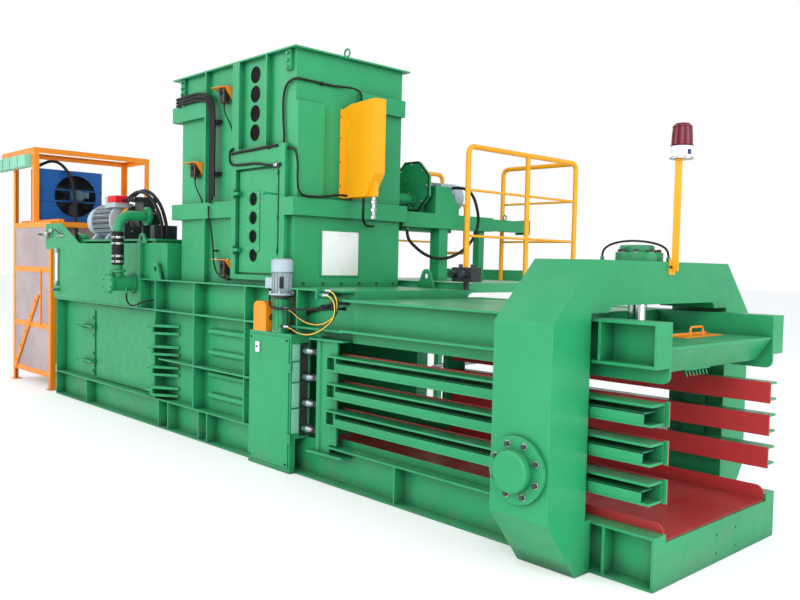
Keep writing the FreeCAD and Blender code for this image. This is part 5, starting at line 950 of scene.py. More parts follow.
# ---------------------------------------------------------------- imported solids
class PackedSolids:
    """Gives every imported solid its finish."""

    FINISHES: dict[Finish, tuple[str, ...]] = {
        Paint.SEA_GREEN: (
            "base_frame", "wall_near", "wall_far", "press_roof", "hopper_shell", "hopper_door", "latch_rod",
            "lifting_lugs", "knotter_cabinet", "cabinet_door", "tension_frame", "clamp_cylinders",
            "side_gate_near", "side_gate_far", "top_platen", "oil_tank", "suction_pipe", "drive_beam",
            "access_door", "main_cylinder"),
        Paint.ORANGE: ("chain_guard", "light_sensors", "platen_hatch", "cage_frame"),
        Paint.AMBER: ("flap_guard", "beacon_post", "coupling_guard", "handrail"),
        Paint.DARK_RED: ("exit_floor", "gate_liners_near", "gate_liners_far"),
        Paint.BLUE: ("cooler_housing",),
        Paint.LIGHT_GREY: ("knotter_motor", "pump_motor", "drive_motor"),
        Paint.CHROME: ("side_rod_near", "side_rod_far", "top_rod", "ram_rod", "beacon_rotor"),
        Paint.STEEL: ("needle_carriage", "main_ram", "agitator"),
        Paint.BLACKENED: ("clamp_bolts",),
        Paint.DARK_CAST: ("pump_block", "knotter_gearbox"),
        Paint.GREASY: ("twister_1", "twister_2", "twister_3", "twister_4"),
        Paint.BLACK_PLASTIC: ("cooler_fan",),
        Paint.BLACK: ("hopper_wiring", "pipe_sleeve"),
        Paint.RED_GLASS: ("beacon_dome",),
    }

    def dress(self) -> None:
        """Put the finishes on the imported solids."""
        for finish, nodes in self.FINISHES.items():
            for node in nodes:
                self.paint(node, Paint.of(finish))
        self.paint("cage_mesh", PerforatedSheet().build())
        self.paint("platform", TreadPlate().build())

    @staticmethod
    def paint(node: str, material: Material) -> None:
        """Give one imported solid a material.

        Args:
            node: The solid's name.
            material: Its finish.
        """
        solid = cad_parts[node]
        if not solid.material_slots:
            solid.data.materials.append(material)
        for place in solid.material_slots:
            place.material = material
        log.info("finish %s on %s", material.name, node)


# ---------------------------------------------------------------- small pieces
@dataclass
class HopperTrim:
    """Windows, light barriers, the bare plate, cables and screws of the feed hopper.

    Attributes:
        wall: Y of the near wall's face.
        front: X of the front wall's face.
        windows_high: How many windows stand over each other, in the wall and in the door.
        window_x: Middle of the wall's windows.
        lowest: Height of the lowest window.
        pitch: From one window to the next.
        radius: Radius of the wall's windows.
        strip_x: Middle of the door's window strip.
        strip_face: Y of the strip's face.
        door_lowest: Height of the door's lowest window.
        door_pitch: From one door window to the next.
        door_radius: Radius of the door's windows.
        pane: Thickness of a pane.
        pane_gap: Gap round a pane.
        rim_out: How far a rim's middle stands out of the face.
        barriers: X and Z of the light barriers' brackets.
        head_x: From a bracket's X to the axis of its head.
        head_out: From the wall to the axis of a head.
        head_wide: Width of a head.
        head_deep: Depth of a head.
        plate_y: Y of the bare plate's two sides.
        plate_z: Heights of its two edges.
        foot_first: Y of the first bolt at the front wall's foot.
        foot_pitch: From one foot bolt to the next.
        foot_height: Height of the foot bolts.
        guard_heights: Heights of the screws on the guard's near side.
        tail: A light barrier's cable, as distances along X from its bracket, out of the wall and down.
        switch_out: From the wall to the door switch's cable.
        switch_cable: X and Z of the points that lead the cable.
        fitting: X and Y of the hose fitting under the flap guard.
    """

    wall: float = -0.525
    front: float = -2.515
    windows_high: int = 4
    window_x: float = -3.043
    lowest: float = 2.4824
    pitch: float = 0.1475
    radius: float = 0.061
    strip_x: float = -3.018
    strip_face: float = -0.5485
    door_lowest: float = 1.538
    door_pitch: float = 0.144
    door_radius: float = 0.048
    pane: float = 0.005
    pane_gap: float = 0.0004
    rim_out: float = 0.0012
    barriers: tuple[tuple[float, float], ...] = ((-3.493, 2.880), (-3.943, 2.312), (-3.458, 1.500))
    head_x: float = 0.060
    head_out: float = 0.040
    head_wide: float = 0.075
    head_deep: float = 0.055
    plate_y: tuple[float, float] = (-0.263, 0.090)
    plate_z: tuple[float, float] = (1.397, 1.731)
    foot_first: float = -0.43
    foot_pitch: float = 0.18
    foot_height: float = 1.337
    guard_heights: tuple[float, ...] = (2.08, 2.26, 2.44, 2.60)
    tail: tuple[Point, ...] = ((0.060, 0.040, 0.146), (0.064, 0.042, 0.190), (0.090, 0.034, 0.240),
                               (0.120, 0.010, 0.310), (0.140, 0.006, 0.370))
    switch_out: float = 0.054
    switch_cable: tuple[tuple[float, float], ...] = (
        (-3.268, 2.372), (-3.310, 2.368), (-3.322, 2.305), (-3.296, 2.242), (-3.120, 2.238), (-2.927, 2.236),
        (-2.810, 2.214), (-2.716, 2.205))
    fitting: tuple[float, float] = (-2.215, -0.020)

    def window(self, panes: BMesh, rims: BMesh, rim: Point, pane_y: float,
               radius: float, rubber: float) -> None:
        """Add one round window.

        Args:
            panes: Mesh of the panes.
            rims: Mesh of the rims.
            rim: Middle of its rim.
            pane_y: Y of its pane's near face.
            radius: Radius of its hole.
            rubber: Radius of the rim's rubber.
        """
        add_rod(panes, (rim[0], pane_y, rim[2]), Y, self.pane, radius - self.pane_gap, sides=48)
        add_ring(rims, rim, Y, radius + 0.001, rubber)

    def wall_windows(self) -> None:
        """Panes painted near-black as the shade inside the hopper, and rubber rims of the windows in the
        wall.
        """
        panes, rims = blanks(2)
        for i in range(self.windows_high):
            rim = (self.window_x, self.wall - self.rim_out, self.lowest + i * self.pitch)
            self.window(panes, rims, rim, self.wall + 0.002, self.radius, 0.0022)
        Maker.add(panes, "hopper_window_panes", Paint.DARK_LENS_AND_SHADE)
        Maker.add(rims, "hopper_window_rims", Paint.BLACK)

    def door_windows(self) -> None:
        """Panes painted near-black as the shade behind them, and rims of the door's windows, the lowest one
        deeper, with the strip's screws.
        """
        panes, rims, screws = blanks(3)
        for i in range(self.windows_high):
            deeper = 0.006 if i == 0 else 0.0
            height = self.door_lowest + i * self.door_pitch
            rim = (self.strip_x, self.strip_face - self.rim_out + deeper, height)
            self.window(panes, rims, rim, self.strip_face + 0.009, self.door_radius, 0.002)
            screw_height = self.door_lowest + 0.055 + i * self.door_pitch * 0.98
            for side in (-0.071, 0.071):
                add_screw(screws, (self.strip_x + side, self.strip_face, screw_height), -Y, 0.006)
        Maker.add(panes, "door_window_panes", Paint.DARK_LENS_AND_SHADE, "inspection_door")
        Maker.add(rims, "door_window_rims", Paint.BLACK, "inspection_door")
        Maker.add(screws, "door_strip_screws", Paint.ZINC, "inspection_door")

    def light_barriers(self) -> None:
        """Dark heads with their eyes and glands under the orange brackets, and the brackets' screws."""
        heads, eyes, screws = blanks(3)
        out, wide, deep = self.wall - self.head_out, self.head_wide / 2, self.head_deep / 2
        for x, z in self.barriers:
            along = x + self.head_x
            low, high = (along - wide, out - deep, z - 0.1275), (along + wide, out + deep, z - 0.0045)
            add_box(heads, low, high, 0.006)
            add_rod(heads, (along, out, z - 0.126), -Z, 0.022, 0.011, 0.008)
            add_rod(eyes, (along, out - deep + SINK, z - 0.052), -Y, 0.0025, 0.021, 0.019, sides=32)
            for side in (-0.085, 0.090):
                add_hex(screws, (x + side, self.wall - 0.030, z), Z, 0.013, 0.006, washer=0.009)
        Maker.add(heads, "light_barrier_heads", Paint.BLACK_PLASTIC)
        Maker.add(eyes, "light_barrier_eyes", Paint.DARK_LENS_AND_SHADE)
        Maker.add(screws, "light_barrier_screws", Paint.ZINC)

    def bare_plate(self) -> None:
        """Plain white plate in its green frame, with four rivets."""
        border, plate, rivets = blanks(3)
        (y0, y1), (z0, z1), margin, top = self.plate_y, self.plate_z, 0.016, self.front + 0.0065
        add_box(border, (self.front - 0.001, y0 - margin, z0 - margin),
                (self.front + 0.004, y1 + margin, z1 + margin), 0.002)
        add_box(plate, (self.front + 0.003, y0, z0), (top, y1, z1), 0.001)
        for y in (y0 + 0.014, y1 - 0.014):
            for z in (z0 + 0.014, z1 - 0.014):
                add_screw(rivets, (top, y, z), X, 0.0045, 0.002)
        Maker.add(border, "plate_frame", Paint.SEA_GREEN)
        Maker.add(plate, "bare_plate", Paint.WHITE)
        Maker.add(rivets, "plate_rivets", Paint.ZINC)

    def foot_bolts(self) -> None:
        """Bolts along the foot of the front wall, and on the guards."""
        bolts = bmesh.new()
        for i in range(6):
            place = (self.front, self.foot_first + self.foot_pitch * i, self.foot_height)
            add_hex(bolts, place, X, 0.013, 0.007, washer=0.010)
        for height in self.guard_heights:
            add_screw(bolts, (self.front + 0.012, -0.108, height), -Y, 0.006)
        Maker.add(bolts, "hopper_foot_bolts", Paint.BLACKENED)

    def cables(self) -> None:
        """Tails of the light barriers, and the sleeved cable of the door switch with its plug."""
        tails, plug, ends = blanks(3)
        for x, z in self.barriers[:2]:
            add_wire(tails, [(x + dx, self.wall - out, z - drop) for dx, out, drop in self.tail], 0.0055)
        face = self.wall - self.switch_out
        add_wire(tails, [(x, face, z) for x, z in self.switch_cable], 0.0085, 0.0016)
        height = self.switch_cable[-1][1]
        add_rod(ends, (-2.722, face, height), X, 0.030, 0.0125, sides=16)
        add_rod(plug, (-2.694, face, height), X, 0.044, 0.0145, sides=20, soften=0.002)
        add_rod(ends, (-2.652, face, height), X, 0.030, 0.0130, sides=16)
        Maker.add(tails, "hopper_cable_tails", Paint.BLACK)
        Maker.add(plug, "door_switch_plug", Paint.ZINC)
        Maker.add(ends, "door_switch_plug_ends", Paint.BLACK_PLASTIC)

    def guard_fitting(self) -> None:
        """Steel hose fitting under the flap guard."""
        fitting = bmesh.new()
        add_band(fitting, (*self.fitting, 1.829), Z, 0.158, 0.0148, 0.0170, sides=24)
        for height, wide in ((1.826, 0.040), (1.880, 0.042), (1.940, 0.040)):
            add_hex(fitting, (*self.fitting, height), Z, wide, 0.022)
        Maker.add(fitting, "guard_hose_fitting", Paint.STEEL)

    def build(self) -> None:
        """Make every small piece of the hopper."""
        self.cables()
        self.guard_fitting()
        self.wall_windows()
        self.door_windows()
        self.light_barriers()
        self.bare_plate()
        self.foot_bolts()


@dataclass
class KnotterTrim:
    """Lock, motor fittings, gearbox shell, conduit, slot plates and hose ends of the knotter.

    Attributes:
        motor: X and Y of the upright motor.
        flange: Height of the motor flange's top.
        cowl: Height of the fan cowl's top.
        nameplate_turn: Where the motor's nameplate sits, in degrees from +X.
        nameplate_height: Height of its middle.
        lid: Corners of the terminal box's lid, in X and Y from the motor's axis.
        column: Height of the gearbox column's foot.
        ribs: How many ribs stand round the column.
        hose_starts: Where the air hoses' ends leave their fittings.
        door_face: Y of the cabinet door's face.
        lock_x: Middle of the door's lock.
        slot_x: X of the cabinet's end face, where the slot is.
        slots: Lower and upper height of each guide plate beside the slot.
        wall: Y of the channel wall's face behind the knotter.
        conduit_out: From that face to the conduit's axis.
        conduit: X and Z of the points that lead the conduit.
        clips: X and Z of the conduit's clips.
    """

    motor: tuple[float, float] = (-2.475, -0.650)
    flange: float = 1.268
    cowl: float = 1.511
    nameplate_turn: float = -38.0
    nameplate_height: float = 1.345
    lid: tuple[Point, Point] = ((-0.152, -0.042, 1.298), (-0.058, -0.034, 1.376))
    column: float = 0.985
    ribs: int = 12
    hose_starts: tuple[Point, ...] = ((-2.387, -0.684, 1.160), (-2.387, -0.684, 1.034),
                                      (-1.885, -0.712, 1.307), (-1.885, -0.734, 1.279))
    door_face: float = -0.712
    lock_x: float = -2.675
    slot_x: float = -2.278
    slots: tuple[tuple[float, float], ...] = ((0.285, 0.455), (0.469, 0.639), (0.653, 0.786), (0.800, 0.915))
    wall: float = -0.550
    conduit_out: float = 0.0138
    conduit: tuple[tuple[float, float], ...] = (
        (-2.330, 1.012), (-2.352, 1.050), (-2.350, 1.105), (-2.290, 1.140), (-2.170, 1.165), (-2.040, 1.196),
        (-1.960, 1.222), (-1.900, 1.226), (-1.862, 1.226))
    clips: tuple[tuple[float, float], ...] = ((-2.270, 1.1415), (-2.105, 1.1805), (-1.985, 1.2105))

    def motor_fittings(self) -> None:
        """Flange bolts, nameplate without text, a dark disc of painted shade in the cowl's vents, and the
        terminal box's lid.
        """
        x, y = self.motor
        bolts, vent_shade, plate, covers = blanks(4)
        for place in around((x, y, self.flange), Z, 0.082, 4, 45.0):
            add_hex(bolts, place, Z, 0.017, 0.010, washer=0.013)
        # Painted shade: a dark disc under the vent rings stands for the shade inside the cowl.
        add_rod(vent_shade, (x, y, self.cowl - SINK), Z, 0.0022, 0.058, sides=40)
        for radius in (0.016, 0.030, 0.044):
            add_ring(covers, (x, y, self.cowl + 0.0030), Z, radius, 0.0022, steps=32, sides=6)
        for i in range(4):
            way = turned(X, 45.0 * i, "Z")
            start = Vector((x, y, self.cowl + 0.0026)) - way * 0.058
            add_rod(covers, tuple(start), way, 0.116, 0.002, sides=6)
        out = turned(X, self.nameplate_turn, "Z")
        add_block(plate, Vector((x, y, self.nameplate_height)) + out * 0.0745,
                  Matrix.Rotation(math.radians(self.nameplate_turn), 4, "Z"), (0.004, 0.030, 0.082), 0.001)
        self.terminal_lid(covers, bolts)
        for height in (1.432, 1.486):
            add_screw(bolts, (x, y - 0.078, height), -Y, 0.0042, 0.002)
        Maker.add(bolts, "knotter_motor_bolts", Paint.ZINC)
        Maker.add(vent_shade, "knotter_motor_vent", Paint.SHADE_GREY)
        Maker.add(plate, "knotter_motor_plate", Paint.BLACK_PLASTIC)
        Maker.add(covers, "knotter_motor_covers", Paint.LIGHT_GREY)

    def terminal_lid(self, covers: BMesh, bolts: BMesh) -> None:
        """Add the terminal box's lid with a screw in each corner.

        Args:
            covers: Mesh of the grey covers.
            bolts: Mesh of the bolts.
        """
        x, y = self.motor
        low, high = ((x + dx, y + dy, z) for dx, dy, z in self.lid)
        add_box(covers, low, high, 0.003)
        inset = 0.009
        for screw_x in (low[0] + inset, high[0] - inset):
            for screw_z in (low[2] + inset, high[2] - inset):
                add_screw(bolts, (screw_x, low[1], screw_z), -Y, 0.0042, 0.002)

    def hose_ends(self) -> None:
        """Crimped sleeves and union nuts at both ends of the two air hoses, and the cable's glands."""
        metal, glands = blanks(2)
        for start in self.hose_starts:
            add_rod(metal, start, X, 0.052, 0.0103, sides=20, soften=0.002)
            add_hex(metal, start, X, 0.024, 0.016)
            for along in (0.026, 0.034, 0.042):
                add_ring(metal, (start[0] + along, *start[1:]), X, 0.0103, 0.0010, steps=20, sides=6)
        add_rod(glands, (-2.579, -0.680, 1.304), -Z, 0.030, 0.0135, 0.0105, sides=16)
        add_rod(glands, (-1.883, self.wall, 1.185), -Y, 0.026, 0.015, 0.0105, sides=16)
        Maker.add(metal, "air_hose_fittings", Paint.ZINC)
        Maker.add(glands, "knotter_cable_glands", Paint.BLACK_PLASTIC)

    def column_shell(self) -> None:
        """Green shell with upright ribs round the bevel gearbox's column."""
        x, y = self.motor
        shell, bolts = blanks(2)
        add_turned(shell, [(0.0005, 0.0), (0.0005, 0.0640), (0.0150, 0.0640), (0.0155, 0.0590),
                           (0.2440, 0.0590), (0.2445, 0.0450)], (x, y, self.column), Z, sides=48)
        middle = Vector((x, y, self.column + 0.129))
        for i in range(self.ribs):
            angle = 360.0 / self.ribs * i
            add_block(shell, middle + turned(X, angle, "Z") * 0.0612,
                      Matrix.Rotation(math.radians(angle), 4, "Z"), (0.0060, 0.0050, 0.216))
        for place in around((x, y, self.column + 0.015), Z, 0.0615, 6, 15.0):
            add_screw(bolts, place, Z, 0.0042, 0.004)
        Maker.add(shell, "gearbox_shell", Paint.SEA_GREEN)
        Maker.add(bolts, "gearbox_screws", Paint.ZINC)

    def wall_conduit(self) -> None:
        """Corrugated conduit that is clipped to the wall behind the hoses."""
        sleeve, clips = blanks(2)
        y = self.wall - self.conduit_out
        add_wire(sleeve, [(x, y, z) for x, z in self.conduit], 0.0122, 0.0016)
        for x, z in self.clips:
            add_box(clips, (x - 0.008, self.wall - 0.0300, z - 0.020),
                    (x + 0.008, self.wall + SINK, z + 0.020), 0.003)
        add_rod(clips, (-1.866, y, 1.226), X, 0.034, 0.0165, sides=6)
        add_rod(clips, (-2.324, y, 1.000), Vector((-0.35, 0, 1)), 0.028, 0.0165, sides=6)
        Maker.add(sleeve, "knotter_wall_conduit", Paint.BLACK)
        Maker.add(clips, "knotter_conduit_clips", Paint.BLACK_PLASTIC)

    def slot_plates(self) -> None:
        """Bright guide plates on the cabinet beside the twisters' slot."""
        plates, screws = blanks(2)
        back, face = self.slot_x - SINK, self.slot_x + 0.0035
        for low, high in self.slots:
            add_box(plates, (back, -0.690, low), (face, -0.628, high), 0.001)
            for height in (low + 0.012, high - 0.012):
                add_screw(screws, (face, -0.680, height), X, 0.0045, 0.002)
        Maker.add(plates, "twister_slot_plates", Paint.MINT)
        Maker.add(screws, "twister_slot_screws", Paint.ZINC)

    def cabinet_lock(self) -> None:
        """White lock plate with its black turn, and the rubber stops at the door's corners."""
        plate, turn, stops = blanks(3)
        x, face, half = self.lock_x, self.door_face, 0.0225
        add_box(plate, (x - half, face - 0.0105, 0.830), (x + half, face + SINK, 0.906), 0.002)
        add_rod(turn, (x, face - 0.0100, 0.872), -Y, 0.006, 0.0085, 0.007, sides=24)
        for stop_x in (-2.770, -2.320):
            for stop_z in (0.060, 0.938):
                add_screw(stops, (stop_x, face, stop_z), -Y, 0.008, 0.004)
        Maker.add(plate, "cabinet_lock_plate", Paint.WHITE, "knotter_door")
        Maker.add(turn, "cabinet_lock_turn", Paint.BLACK_PLASTIC, "knotter_door")
        Maker.add(stops, "cabinet_door_stops", Paint.BLACK_PLASTIC, "knotter_door")

    def build(self) -> None:
        """Make every small piece of the knotter."""
        self.column_shell()
        self.wall_conduit()
        self.slot_plates()
        self.motor_fittings()
        self.hose_ends()
        self.cabinet_lock()


@dataclass
class PowerPackTrim:
    """Pump motor's covers, clamps of the suction pipe and fittings of the oil tank and the pump.

    Attributes:
        motor: X, Y and Z of the motor's middle.
        fins: How many fins stand round the motor.
        feet_top: Height of the motor's feet.
        pipe: X and Y of the upright suction pipe.
        clamps: Heights of the four bands on its soft sleeve.
        strainer: Height of the strainer's axis.
        tank_face: Y of the tank's near wall.
        tank_top: Height of the tank's cover.
        gauge_x: X of the level gauge.
        gauge_ends: Heights of the blocks that hold the gauge's tube.
        drain: Height of the drain tap.
        breather: X and Y of the breather.
        stem: X and Y of the filler's stem.
        plate_nuts: X and Z of the nuts on the tank's end plate.
        valves: How many valves stand on the pump's block.
        valve_pitch: From one valve to the next.
    """

    motor: Point = (-5.815, -0.400, 1.862)
    fins: int = 40
    feet_top: float = 1.689
    pipe: tuple[float, float] = (-4.850, -0.800)
    clamps: tuple[float, ...] = (1.460, 1.510, 1.624, 1.680)
    strainer: float = 1.262
    tank_face: float = -0.650
    tank_top: float = 1.633
    gauge_x: float = -6.650
    gauge_ends: tuple[float, float] = (1.186, 1.536)
    drain: float = 1.135
    breather: tuple[float, float] = (-6.460, -0.450)
    stem: tuple[float, float] = (-6.590, -0.450)
    plate_nuts: tuple[tuple[float, float], ...] = ((-6.672, 1.778), (-6.626, 1.762), (-6.578, 1.750),
                                                   (-6.835, 1.722))
    valves: int = 3
    valve_pitch: float = 0.058

    def motor_covers(self) -> None:
        """Barrel painted dark grey as the shade between the fins, eyebolt, red cable cover, feet bolts."""
        x, y, z = self.motor
        barrel, bolts, cover, fins = blanks(4)
        # Painted shade: a dark band under the fins stands for the shadows between them.
        add_band(barrel, (x - 0.1505, y, z), X, 0.4210, 0.150, 0.1555, sides=64)
        for i in range(self.fins):
            way = turned(Z, 360.0 / self.fins * (i + 0.5), "X")
            turn = Matrix((X, way.cross(X), way)).transposed().to_4x4()
            add_block(fins, Vector((x + 0.06, y, z)) + way * 0.164, turn, (0.412, 0.003, 0.018))
        for foot_x in (x - 0.140, x + 0.180):
            for foot_y in (y - 0.145, y + 0.145):
                add_hex(bolts, (foot_x, foot_y, self.feet_top), Z, 0.019, 0.011, washer=0.016)
        add_ring(bolts, (x - 0.03, y, z + 0.196), Y, 0.020, 0.005, steps=28, sides=8)
        add_rod(bolts, (x - 0.03, y, z + 0.150), Z, 0.030, 0.009)
        add_box(cover, (x + 0.170, y - 0.156, z + 0.176), (x + 0.362, y - 0.004, z + 0.246), 0.012, 3)
        Maker.add(barrel, "pump_motor_barrel", Paint.SHADE_GREY)
        Maker.add(fins, "pump_motor_fins", Paint.LIGHT_GREY)
        Maker.add(bolts, "pump_motor_bolts", Paint.ZINC)
        Maker.add(cover, "cable_box_cover", Paint.RED_PLASTIC)

    def pipe_clamps(self) -> None:
        """Four steel bands with their screw housings on the soft sleeve."""
        x, y = self.pipe
        bands = bmesh.new()
        for z in self.clamps:
            add_band(bands, (x, y, z - 0.010), Z, 0.020, 0.0568, 0.0588)
            add_box(bands, (x + 0.020, y - 0.066, z - 0.009), (x + 0.052, y - 0.050, z + 0.009), 0.003)
            add_rod(bands, (x + 0.050, y - 0.058, z), X, 0.012, 0.006, sides=12)
        Maker.add(bands, "suction_pipe_bands", Paint.ZINC)

    def flange_bolts(self) -> None:
        """Bolts of the strainer's cover, the neck and the pump's flange."""
        x, y = self.pipe
        bolts = bmesh.new()
        for place in around((x, y - 0.097, self.strainer), -Y, 0.083, 8, 22.5):
            add_hex(bolts, place, -Y, 0.013, 0.008)
        for place in around((x, y, self.strainer + 0.122), Z, 0.060, 6, 15.0):
            add_hex(bolts, place, Z, 0.013, 0.008)
        for place in around((x, -0.532, 1.886), -Y, 0.068, 6):
            add_hex(bolts, place, -Y, 0.017, 0.010, washer=0.012)
        Maker.add(bolts, "suction_flange_bolts", Paint.SEA_GREEN)

    def level_gauge(self, metal: BMesh, tube: BMesh, black: BMesh) -> None:
        """Add the gauge's tube between its two blocks, its guard bar, and the drain tap below it.

        Args:
            metal: Mesh of the tank's metal fittings.
            tube: Mesh of the gauge's tube.
            black: Mesh of the black caps.
        """
        x, y, low, high = self.gauge_x, self.tank_face - 0.020, *self.gauge_ends
        add_band(tube, (x, y, low + 0.040), Z, 0.310, 0.0128, 0.0142, sides=24)
        for z in (low, high):
            add_box(metal, (x - 0.018, y - 0.018, z), (x + 0.018, y + 0.016, z + 0.044), 0.003)
        add_box(metal, (x - 0.006, y - 0.024, low + 0.036), (x - 0.002, y - 0.016, high + 0.008))
        add_rod(metal, (x + 0.020, self.tank_face - 0.050, self.drain), -Y, 0.030, 0.012, sides=6)
        add_rod(black, (x - 0.020, self.tank_face - 0.070, self.drain), X, 0.080, 0.006, sides=10)

    def cover_fittings(self, metal: BMesh, black: BMesh, breather: BMesh) -> None:
        """Add the breather with its bolts, and the filler's stem, on the tank's cover.

        Args:
            metal: Mesh of the tank's metal fittings.
            black: Mesh of the black caps.
            breather: Mesh of the breather.
        """
        top = self.tank_top
        add_rod(breather, (*self.breather, top), Z, 0.060, 0.046, sides=24, soften=0.004)
        add_rod(breather, (*self.breather, top + 0.0595), Z, 0.045, 0.056, 0.050, sides=24, soften=0.004)
        for place in around((*self.breather, top), Z, 0.060, 6):
            add_hex(metal, place, Z, 0.011, 0.007)
        add_rod(black, (*self.stem, top), Z, 0.100, 0.015, sides=16)
        add_hex(metal, (*self.stem, top + 0.100), Z, 0.036, 0.024)

    def end_plate_fittings(self, metal: BMesh, black: BMesh) -> None:
        """Add the shut-off block with its lever, the bar, the small block and the nuts on the end plate.

        Args:
            metal: Mesh of the tank's metal fittings.
            black: Mesh of the black caps.
        """
        face = self.tank_face
        add_box(metal, (-6.985, face - 0.052, 1.700), (-6.895, face + 0.001, 1.762), 0.004)
        add_rod(metal, (-6.940, face - 0.050, 1.731), -Y, 0.040, 0.014, sides=16)
        add_box(black, (-6.990, face - 0.100, 1.722), (-6.900, face - 0.088, 1.740), 0.004)
        add_box(metal, (-6.705, face - 0.014, 1.708), (-6.500, face - SINK, 1.724), 0.003)
        add_box(metal, (-6.870, face - 0.030, 1.752), (-6.800, face - SINK, 1.792), 0.005)
        for x, z in self.plate_nuts:
            add_hex(metal, (x, face - SINK, z), -Y, 0.028, 0.016)
            add_rod(black, (x, face - 0.0165, z), -Y, 0.014, 0.009, sides=12)

    def tank_fittings(self) -> None:
        """Every fitting of the oil tank."""
        metal, tube, black, breather = blanks(4)
        self.level_gauge(metal, tube, black)
        self.cover_fittings(metal, black, breather)
        self.end_plate_fittings(metal, black)
        Maker.add(metal, "tank_fittings", Paint.ZINC)
        Maker.add(tube, "level_gauge_tube", Paint.WHITE)
        Maker.add(black, "tank_caps", Paint.BLACK_PLASTIC)
        Maker.add(breather, "tank_breather", Paint.SEA_GREEN)

    def pump_fittings(self) -> None:
        """Bright ring, cap screws and plugs on the dark pump and its valve stack."""
        x, y, z = self.motor
        start = x + 0.530
        metal, plugs = blanks(2)
        add_band(metal, (start + 0.030, y, z), X, 0.016, 0.0955, 0.1010, sides=48)
        for place in around((start + 0.030, y, z), X, 0.130, 8, 10.0):
            add_hex(metal, place, X, 0.019, 0.012)
        for i in range(self.valves):
            valve = start + 0.068 + self.valve_pitch * i
            for dx in (0.012, 0.032):
                for dy in (-0.080, 0.080):
                    add_screw(metal, (valve + dx, y + dy, z + 0.216), Z, 0.006, 0.005)
            add_box(plugs, (valve + 0.004, y - 0.142, z + 0.176), (valve + 0.040, y - 0.0995, z + 0.210),
                    0.004)
        Maker.add(metal, "pump_screws", Paint.ZINC)
        Maker.add(plugs, "valve_plugs", Paint.BLACK_PLASTIC)

    def build(self) -> None:
        """Make every small piece of the power pack."""
        self.motor_covers()
        self.pipe_clamps()
        self.flange_bolts()
        self.tank_fittings()
        self.pump_fittings()


